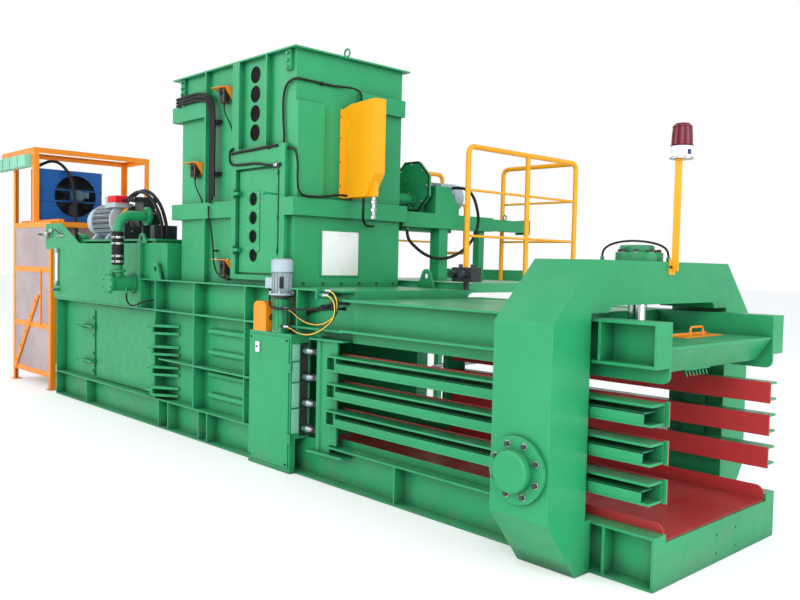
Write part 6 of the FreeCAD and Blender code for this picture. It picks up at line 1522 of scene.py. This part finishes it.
@dataclass
class CoolerTrim:
    """Core, guard wires and motor shell of the oil cooler, and the boxes on the cage's top rail.

    Attributes:
        face: X of the housing's front.
        core: X of the core's front.
        core_y: Y of the core's two sides.
        core_fins: How many fins lie over each other on the core.
        fin_pitch: From one fin to the next.
        fan: Y and Z of the fan's axis.
        mouth: Radius of the fan's opening.
        ribs: How many ribs run along the fan's motor.
        first_box: X of the first box on the rail.
        box_pitch: From one box to the next.
        box_wide: Width of a box.
    """

    face: float = -7.480
    core: float = -7.680
    core_y: tuple[float, float] = (-0.550, 0.175)
    core_fins: int = 36
    fin_pitch: float = 0.016
    fan: tuple[float, float] = (-0.1375, 2.210)
    mouth: float = 0.245
    ribs: int = 20
    first_box: float = -8.500
    box_pitch: float = 0.259
    box_wide: float = 0.240

    def core_and_wires(self) -> None:
        """Dark finned core, and the guard's wires over the opening."""
        core, wires = blanks(2)
        near, far = self.core_y
        add_box(core, (self.core - 0.001, near - 0.002, 1.918), (self.core + 0.002, far + 0.002, 2.502))
        for i in range(self.core_fins):
            z = 1.926 + self.fin_pitch * i
            add_box(core, (self.core + 0.0015, near, z), (self.core + 0.008, far, z + 0.003))
        for radius in (0.095, 0.125, 0.155, 0.185, 0.215, self.mouth - 0.004):
            add_ring(wires, (self.face + 0.0080, *self.fan), X, radius, 0.0022, steps=64, sides=6)
        for i in range(6):
            way = turned(Y, 60.0 * i + 30.0, "X")
            start = Vector((self.face + 0.0035, *self.fan)) + way * 0.068
            add_rod(wires, tuple(start), way, 0.184, 0.0026, sides=6)
        Maker.add(core, "cooler_core", Paint.BLACKENED)
        Maker.add(wires, "fan_guard_wires", Paint.BLACK_PLASTIC)

    def motor_shell(self) -> None:
        """Slate-blue shell of the fan motor, with its end rings, ribs, terminal cover and screws."""
        face, (y, z) = self.face, self.fan
        shell, ribs, screws = blanks(3)
        add_turned(shell, [(0.0065, 0.0), (0.0065, 0.0586), (0.0195, 0.0590), (0.0200, 0.0668),
                           (0.1045, 0.0668), (0.1048, 0.0568), (0.1246, 0.0510), (0.1246, 0.0)],
                   (face, y, z), X, sides=40)
        for radius in (0.018, 0.034, 0.048):
            add_ring(ribs, (face + 0.1250, y, z), X, radius, 0.0018, steps=32, sides=6)
        for i in range(self.ribs):
            start = Vector((face + 0.024, y, z)) + turned(Z, 360.0 / self.ribs * i, "X") * 0.0672
            add_rod(ribs, tuple(start), X, 0.076, 0.0022, sides=6)
        add_box(shell, (face + 0.0395, y + 0.0495, z - 0.0205), (face + 0.1105, y + 0.1205, z + 0.0505),
                0.004)
        for place in around((face + 0.006, y, z), X, 0.064, 4, 45.0):
            add_hex(screws, place, X, 0.010, 0.006)
        Maker.add(shell, "fan_motor_shell", Paint.SLATE)
        Maker.add(ribs, "fan_motor_ribs", Paint.SLATE)
        Maker.add(screws, "fan_motor_screws", Paint.ZINC)

    def rail_boxes(self) -> None:
        """Pale green terminal boxes with their lids, ribs and screws."""
        boxes, lids, screws = blanks(3)
        lid_face = -0.7230
        for i in range(4):
            x = self.first_box + self.box_pitch * i
            end = x + self.box_wide
            add_box(boxes, (x - 0.0006, -0.7106, 2.5124), (end + 0.0006, -0.6396, 2.6606), 0.003)
            add_box(lids, (x + 0.004, lid_face, 2.5180), (end - 0.004, -0.7100, 2.6550), 0.005)
            for part in (0.06, 0.12, 0.18):
                add_box(lids, (x + part - 0.004, lid_face - 0.002, 2.530),
                        (x + part + 0.004, lid_face + 0.001, 2.643), 0.001)
            for screw_x in (x + 0.014, end - 0.014):
                for z in (2.528, 2.645):
                    add_screw(screws, (screw_x, lid_face, z), -Y, 0.005, 0.002)
        Maker.add(boxes, "rail_box_bodies", Paint.MINT)
        Maker.add(lids, "rail_box_lids", Paint.MINT)
        Maker.add(screws, "rail_box_screws", Paint.ZINC)

    def build(self) -> None:
        """Make every small piece of the cooler and the cage."""
        self.core_and_wires()
        self.motor_shell()
        self.rail_boxes()


@dataclass
class DriveTrim:
    """Rubber edge, screws and bearing bolts of the feeder's octagonal chain guard.

    Attributes:
        centre: X and Z of the guard's middle.
        face: Y of its near face.
        sides: How many sides it has.
        corner: From the middle to a corner.
        shaft: Height of the feeder's shaft.
    """

    centre: tuple[float, float] = (-2.720, 2.160)
    face: float = 0.850
    sides: int = 8
    corner: float = 0.222
    shaft: float = 2.050

    def build(self) -> None:
        """Make the guard's edge, its screws and the bearing's bolts."""
        x, z = self.centre
        edge, screws = blanks(2)
        middle = Vector((x, self.face + 0.002, z))
        places = [middle + turned(X, -360.0 / self.sides * (i + 0.5), "Y") * self.corner
                  for i in range(self.sides)]
        for first, second in zip(places, places[1:] + places[:1]):
            add_rod(edge, tuple(first), second - first, (second - first).length, 0.0075, sides=10)
            seat = ((first + second) / 2).lerp(middle, 0.10)
            add_hex(screws, (seat.x, self.face, seat.z), -Y, 0.015, 0.007, washer=0.010)
        for place in around((x, self.face - 0.022, self.shaft), -Y, 0.055, 6, 30.0):
            add_hex(screws, place, -Y, 0.013, 0.007)
        Maker.add(edge, "chain_guard_edge", Paint.BLACK)
        Maker.add(screws, "chain_guard_screws", Paint.ZINC)


@dataclass
class PressTrim:
    """Signal lamp, washers, comb, rail plates and screws of the tension end.

    Attributes:
        lamp: X and Y of the lamp's axis.
        plate: Height of the lamp's plate.
        inset_turn: Where the dark inset of the lamp's base sits, in degrees from +X.
        flange: Y of the side cylinders' flange face.
        clamp: Height of the side cylinders.
        top: Height of the top cylinder's flange face.
        lip: X of the outlet's front.
        rails: Heights of the gates' rails.
        teeth: How many teeth the comb has.
        tooth_pitch: From one tooth to the next.
    """

    lamp: tuple[float, float] = (0.205, 0.049)
    plate: float = 2.093
    inset_turn: float = -18.0
    flange: float = 1.035
    clamp: float = 0.532
    top: float = 1.588
    lip: float = 0.520
    rails: tuple[float, ...] = (0.457, 0.640, 0.823)
    teeth: int = 7
    tooth_pitch: float = 0.035

    def signal_lamp(self) -> None:
        """White base with its dark inset, grey plate, and the ribs of the red lens."""
        axis = (*self.lamp, self.plate)
        base, dark, ribs, plate, bolts = blanks(5)
        add_turned(base, [(0.0062, 0.0), (0.0062, 0.0506), (0.0112, 0.0556), (0.0600, 0.0556),
                          (0.0664, 0.0590), (0.0668, 0.0575)], axis, Z, sides=48)
        middle = Vector((*self.lamp, self.plate + 0.034)) + turned(X, self.inset_turn, "Z") * 0.0545
        add_block(dark, middle, Matrix.Rotation(math.radians(self.inset_turn), 4, "Z"), (0.006, 0.022, 0.026))
        for z, radius in ((2.1625, 0.0585), (2.166, 0.0580), (2.262, 0.0518)):
            add_ring(ribs, (*self.lamp, z), Z, radius, 0.0016, steps=48, sides=8)
        add_turned(plate, [(-0.0006, 0.0), (-0.0006, 0.0628), (0.0064, 0.0628), (0.0064, 0.0)], axis, Z,
                   sides=48)
        for y in (0.016, 0.034):
            add_hex(bolts, (0.181, y, 1.512), X, 0.012, 0.007, washer=0.009)
        Maker.add(base, "lamp_base", Paint.WHITE)
        Maker.add(dark, "lamp_base_inset", Paint.NAVY)
        Maker.add(ribs, "lamp_lens_ribs", Paint.RED_GLASS)
        Maker.add(plate, "lamp_plate", Paint.ZINC)
        Maker.add(bolts, "lamp_foot_bolts", Paint.BLACKENED)

    def cylinder_screws(self) -> None:
        """Washers, and thin dark hexagons of painted shade for the sockets, of the three cylinder flanges'
        cap screws.
        """
        washers, socket_shades = blanks(2)
        for way in (-Y, Y):
            for place in around((0, way.y * self.flange, self.clamp), way, 0.131, 8, 22.5):
                add_band(washers, place, way, 0.0025, 0.0113, 0.0165, sides=24)
                head = tuple(Vector(place) + way * 0.0158)
                # Painted shade: a thin dark hexagon stands for the socket's hollow.
                add_rod(socket_shades, head, way, 0.0006, 0.0055, sides=6)
        for place in around((0, 0, self.top), Z, 0.106, 8, 22.5):
            add_band(washers, place, Z, 0.0025, 0.0113, 0.0165, sides=24)
        Maker.add(washers, "cylinder_washers", Paint.ZINC)
        Maker.add(socket_shades, "cap_screw_sockets", Paint.SHADE_GREY)

    def comb(self) -> None:
        """Steel comb under the platen's front edge that keeps the bale's top wires apart."""
        comb = bmesh.new()
        add_box(comb, (0.396, -0.235, 0.9945), (0.428, 0.010, 1.0012), 0.001)
        for i in range(self.teeth):
            start = (0.412, -0.222 + self.tooth_pitch * i, 0.996)
            add_rod(comb, start, Vector((0.45, 0.0, -1.0)), 0.034, 0.0055, 0.003, sides=10)
        Maker.add(comb, "wire_comb", Paint.SEA_GREEN, "platen")

    def channel_side(self) -> None:
        """Thin green edge strips over the outer faces of the channel floor's folded sides."""
        strip = bmesh.new()
        for near, far in ((-0.5532, -0.5500), (0.5500, 0.5532)):
            add_box(strip, (-1.906, near, 0.216), (-0.180, far, 0.2985))
        Maker.add(strip, "floor_edge_strips", Paint.SEA_GREEN)

    def rail_stiffeners(self) -> None:
        """Angle plates that close the lower half of each gate rail, and the liners' green ends."""
        for side, body in ((-1, "gate_near"), (1, "gate_far")):
            plates = bmesh.new()
            for z in self.rails:
                low, top = z - 0.0400, z + 0.0120
                for inner, bottom in ((0.6745, low), (0.5680, top - 0.008)):
                    near, far = sorted((side * inner, side * 0.6826))
                    add_box(plates, (-1.806, near, bottom), (0.458, far, top), 0.0012)
                near, far = sorted((side * 0.5560, side * 0.5595))
                add_box(plates, (0.5000, near, z - 0.0585), (0.5202, far, z + 0.0585))
            Maker.add(plates, f"{body}_rail_plates", Paint.SEA_GREEN, body)

    def outlet_screws(self) -> None:
        """Four small dark screws in the outlet's front plate."""
        screws = bmesh.new()
        for y in (-0.030, 0.180):
            for z in (0.048, 0.143):
                add_screw(screws, (self.lip, y, z), X, 0.007, 0.002)
        Maker.add(screws, "outlet_screws", Paint.BLACKENED)

    def build(self) -> None:
        """Make every small piece of the tension end."""
        self.signal_lamp()
        self.cylinder_screws()
        self.comb()
        self.channel_side()
        self.rail_stiffeners()
        self.outlet_screws()


# ---------------------------------------------------------------- free hoses and cables
class Lay(Enum):
    """How much a hose gives."""

    MEDIUM = "medium"
    STIFF = "stiff"


@dataclass
class FreeHose:
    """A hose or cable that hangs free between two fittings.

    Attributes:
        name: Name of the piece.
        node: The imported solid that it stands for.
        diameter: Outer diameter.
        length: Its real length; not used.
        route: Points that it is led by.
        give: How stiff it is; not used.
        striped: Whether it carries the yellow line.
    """

    name: str
    node: str
    diameter: float
    length: float
    route: list[Point]
    give: Lay = Lay.MEDIUM
    striped: bool = False

    def curve(self) -> bpy.types.Curve:
        """The hose as one smooth curve that its points lead.

        Returns:
            The curve's data.
        """
        data = bpy.data.curves.new(self.name, "CURVE")
        data.dimensions = "3D"
        line = data.splines.new("NURBS")
        line.points.add(len(self.route) - 1)
        for point, place in zip(line.points, self.route):
            point.co = (*place, 1.0)
        line.order_u = 3
        line.use_endpoint_u = True
        data.resolution_u = 10
        data.bevel_depth = self.diameter / 2
        data.bevel_resolution = 4
        data.use_fill_caps = True
        return data

    def build(self) -> None:
        data = self.curve()
        data.materials.append(StripedHose().build() if self.striped else Paint.of(Paint.BLACK))
        item = new_object(self.name, data)
        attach(item, "machine")
        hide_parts(self.node)
        log.info("hose %s", self.name)


class Hoses:
    """All free hoses and cables of the machine."""

    ROUTES: tuple[FreeHose, ...] = (
        FreeHose("knotter_hose_upper", "knotter_hoses", 0.016, 0.88, [
            (-2.387, -0.684, 1.16), (-2.325, -0.684, 1.16), (-2.235, -0.69, 1.12), (-2.14, -0.698, 1.088),
            (-2.03, -0.704, 1.073), (-1.9, -0.708, 1.085), (-1.79, -0.71, 1.14), (-1.757, -0.711, 1.199),
            (-1.768, -0.712, 1.264), (-1.819, -0.712, 1.307), (-1.885, -0.712, 1.307)], striped=True),
        FreeHose("knotter_hose_lower", "knotter_hoses", 0.016, 0.893, [
            (-2.387, -0.684, 1.034), (-2.32, -0.684, 1.034), (-2.235, -0.7, 1.012), (-2.13, -0.714, 1.0),
            (-2.01, -0.726, 1.008), (-1.891, -0.732, 1.049), (-1.787, -0.734, 1.109), (-1.752, -0.734, 1.17),
            (-1.764, -0.734, 1.236), (-1.815, -0.734, 1.279), (-1.885, -0.734, 1.279)], striped=True),
        FreeHose("knotter_motor_cable", "knotter_hoses", 0.016, 0.898, [
            (-2.579, -0.68, 1.302), (-2.579, -0.68, 1.246), (-2.563, -0.698, 1.196), (-2.505, -0.722, 1.166),
            (-2.415, -0.73, 1.158), (-2.305, -0.728, 1.164), (-2.185, -0.726, 1.168), (-2.075, -0.72, 1.174),
            (-1.975, -0.7, 1.179), (-1.905, -0.65, 1.182), (-1.883, -0.6, 1.185), (-1.883, -0.55, 1.185)]),
        FreeHose("drive_motor_cable", "drive_hose", 0.026, 1.474, [
            (-2.515, 1.15, 2.16), (-2.44, 1.15, 2.16), (-2.385, 1.185, 2.148), (-2.372, 1.262, 2.1),
            (-2.388, 1.345, 1.965), (-2.394, 1.362, 1.855), (-2.402, 1.325, 1.745), (-2.42, 1.235, 1.64),
            (-2.445, 1.1, 1.565), (-2.475, 0.955, 1.54), (-2.505, 0.82, 1.575), (-2.538, 0.718, 1.65),
            (-2.56, 0.66, 1.716), (-2.56, 0.66, 1.781)]),
        FreeHose("lamp_cable", "beacon_cable", 0.012, 0.451, [
            (0.16, 0.03, 1.564), (0.16, 0.03, 1.594), (0.138, 0.008, 1.626), (0.086, -0.042, 1.646),
            (0.014, -0.098, 1.652), (-0.058, -0.122, 1.644), (-0.116, -0.134, 1.624), (-0.152, -0.13, 1.594),
            (-0.152, -0.13, 1.564)]),
        FreeHose("cooler_hose", "power_hoses", 0.036, 1.708, [
            (-7.686, -0.464, 2.574), (-7.65, -0.41, 2.607), (-7.594, -0.362, 2.62), (-7.514, -0.312, 2.594),
            (-7.436, -0.266, 2.52), (-7.374, -0.232, 2.412), (-7.336, -0.216, 2.28), (-7.318, -0.208, 2.13),
            (-7.314, -0.202, 1.97), (-7.298, -0.198, 1.83), (-7.26, -0.202, 1.704), (-7.186, -0.205, 1.598),
            (-7.07, -0.205, 1.534), (-6.942, -0.205, 1.51), (-6.83, -0.205, 1.51)], Lay.STIFF),
        FreeHose("motor_cable_outer", "power_hoses", 0.032, 1.093, [
            (-5.465, -0.47, 2.06), (-5.375, -0.47, 2.06), (-5.265, -0.47, 2.11), (-5.135, -0.47, 2.134),
            (-5.005, -0.47, 2.12), (-4.865, -0.47, 2.058), (-4.745, -0.47, 1.962), (-4.665, -0.47, 1.85),
            (-4.637, -0.47, 1.76), (-4.637, -0.47, 1.673)]),
        FreeHose("motor_cable_inner", "power_hoses", 0.032, 1.11, [
            (-5.465, -0.426, 2.06), (-5.375, -0.426, 2.06), (-5.265, -0.426, 2.124), (-5.135, -0.426, 2.148),
            (-5.005, -0.426, 2.134), (-4.865, -0.426, 2.072), (-4.745, -0.426, 1.976), (-4.665, -0.426, 1.85),
            (-4.637, -0.426, 1.76), (-4.637, -0.426, 1.673)]),
        FreeHose("leak_oil_hose", "power_hoses", 0.016, 0.489, [
            (-4.798, -0.74, 1.172), (-4.798, -0.74, 1.118), (-4.75, -0.74, 1.074), (-4.67, -0.738, 1.062),
            (-4.58, -0.74, 1.078), (-4.5, -0.738, 1.102), (-4.44, -0.7, 1.12), (-4.424, -0.654, 1.128)]),
        FreeHose("flap_hose", "power_hoses", 0.020, 0.393, [
            (-2.33, -0.02, 1.985), (-2.334, -0.016, 1.9), (-2.362, 0.004, 1.825), (-2.4, 0.06, 1.79),
            (-2.436, 0.13, 1.78), (-2.462, 0.2, 1.786)]),
    )

    def build(self) -> None:
        """Make every hose."""
        for hose in self.ROUTES:
            hose.build()


# ---------------------------------------------------------------- floor, light and camera
@dataclass(frozen=True)
class AreaLamp:
    """A soft square lamp.

    Attributes:
        name: Its name.
        place: Where it stands.
        target: What it points at.
        size: Side of its square.
        power: Watts.
    """

    name: str
    place: Point
    target: Point
    size: float
    power: float

    def build(self) -> None:
        """Hang the lamp and point it."""
        data = bpy.data.lights.new(self.name, "AREA")
        data.size = self.size
        data.energy = self.power
        item = new_object(self.name, data)
        item.location = self.place
        item.rotation_euler = (Vector(self.target) - Vector(self.place)).to_track_quat("-Z", "Y").to_euler()


@dataclass
class Studio:
    """Pale floor, soft light and the camera at the photograph's place.

    Attributes:
        floor: Half the floor's side.
        floor_middle: Where its middle lies, just under the machine's feet.
        floor_glow: How brightly the camera sees it shine of itself.
        sky_colour: Colour of the sky's light.
        sky_strength: Strength of the sky's light.
        eye: Place of the camera.
        right: The image's right in the machine's frame.
        down: The image's down in the machine's frame.
        ahead: The camera's view in the machine's frame.
        focal: Focal length in pixels.
        width: Width of the image in pixels.
        sensor: Width of the sensor in millimetres.
    """

    LAMPS: ClassVar[tuple[AreaLamp, ...]] = (
        AreaLamp("key", (5.0, -9.0, 6.5), (-2.5, 0.0, 1.0), 7.0, 560.0),
        AreaLamp("fill", (9.0, 0.5, 3.5), (-2.0, 0.0, 0.8), 6.0, 420.0),
        AreaLamp("low", (0.5, -9.5, 1.3), (-1.5, 0.0, 0.7), 5.0, 230.0),
        AreaLamp("rear", (-9.0, -9.0, 5.0), (-4.5, 0.0, 1.0), 6.0, 360.0),
    )

    floor: float = 60.0
    floor_middle: Point = (-3.0, 0.0, -0.002)
    floor_glow: float = 0.22
    sky_colour: Colour = (0.94, 0.97, 1.0)
    sky_strength: float = 0.80
    eye: Point = (2.45274, -4.11398, 1.500)
    right: Point = (0.68392167, 0.72921775, 0.02219512)
    down: Point = (0.04734842, -0.01400757, -0.99878021)
    ahead: Point = (-0.72801736, 0.68413834, -0.04410739)
    focal: float = 830.29
    width: float = 800.0
    sensor: float = 36.0

    def backdrop(self) -> Material:
        """The floor's material: a pale matt grey that the camera sees as nearly white.

        Returns:
            The material.
        """
        graph = NodeGraph("studio_floor")
        graph.set(Base_Color=(0.90, 0.90, 0.90, 1.0), Roughness=0.9, Emission_Color=(1.0, 1.0, 1.0, 1.0))
        glow = graph.node("Math", {1: self.floor_glow}, "MULTIPLY")
        graph.link(graph.node("LightPath").outputs["Is Camera Ray"], glow.inputs[0])
        graph.link(glow.outputs[0], graph.shader.inputs["Emission Strength"])
        return graph.material

    def ground(self) -> None:
        """Lay the floor."""
        mesh = bmesh.new()
        bmesh.ops.create_grid(mesh, x_segments=1, y_segments=1, size=self.floor)
        bmesh.ops.translate(mesh, verts=mesh.verts, vec=self.floor_middle)
        data = bpy.data.meshes.new("floor")
        mesh.to_mesh(data)
        mesh.free()
        data.materials.append(self.backdrop())
        ground = new_object("floor", data)
        ground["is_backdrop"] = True

    def sky(self) -> None:
        """An even sky that lights softly, and shows white to the camera, through glass and in mirrors."""
        world = bpy.data.worlds.new("studio")
        world.use_nodes = True
        tree = world.node_tree
        tree.nodes.clear()
        path = add_node(tree, "LightPath")
        shows = path.outputs["Is Camera Ray"]
        for way in ("Is Transmission Ray", "Is Glossy Ray"):
            either = add_node(tree, "Math", operation="MAXIMUM")
            tree.links.new(shows, either.inputs[0])
            tree.links.new(path.outputs[way], either.inputs[1])
            shows = either.outputs[0]
        light = add_node(tree, "Background",
                         {"Color": (*self.sky_colour, 1.0), "Strength": self.sky_strength})
        white = add_node(tree, "Background", {"Color": (1.0, 1.0, 1.0, 1.0), "Strength": 1.0})
        mix = add_node(tree, "MixShader")
        for socket, source in zip(mix.inputs, (shows, light.outputs[0], white.outputs[0])):
            tree.links.new(source, socket)
        tree.links.new(mix.outputs[0], add_node(tree, "OutputWorld").inputs["Surface"])
        bpy.context.scene.world = world

    def camera(self) -> None:
        """Set the camera by the photograph's own perspective."""
        data = bpy.data.cameras.new("photo_camera")
        data.sensor_width = self.sensor
        data.lens = self.focal / self.width * self.sensor
        data.clip_end = 200.0
        item = new_object("photo_camera", data)
        turn = Matrix((Vector(self.right), -Vector(self.down), -Vector(self.ahead))).transposed()
        item.matrix_world = Matrix.Translation(self.eye) @ turn.to_4x4()
        bpy.context.scene.camera = item

    def build(self) -> None:
        """Make the floor, the sky, the lamps and the camera."""
        self.ground()
        self.sky()
        for lamp in self.LAMPS:
            lamp.build()
        self.camera()


def plain(value: object) -> object:
    """Numbers, and vectors or lists of them, as plain numbers and lists.

    Args:
        value: A number, or anything that holds numbers.

    Returns:
        A number, or a list.
    """
    if isinstance(value, (int, float)):
        return float(value)
    return [plain(part) for part in value]


def write_sizes(before: object, after: object) -> None:
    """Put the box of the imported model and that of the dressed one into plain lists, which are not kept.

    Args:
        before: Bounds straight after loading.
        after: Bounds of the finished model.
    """
    {"cad": plain(before), "visual": plain(after)}


def main() -> None:
    """Set the studio, lay the hoses, dress the solids, and add the small pieces."""
    logging.basicConfig(level=logging.INFO, format="%(name)s: %(message)s")
    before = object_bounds()
    bpy.context.scene.view_settings.view_transform = "Standard"
    Studio().build()
    Hoses().build()
    PackedSolids().dress()
    for trim in (HopperTrim(), KnotterTrim(), PowerPackTrim(), CoolerTrim(), DriveTrim(), PressTrim()):
        trim.build()
    log.info("%d small pieces", Maker.count)
    write_sizes(before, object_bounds())


if __name__ == "__main__":
    main()
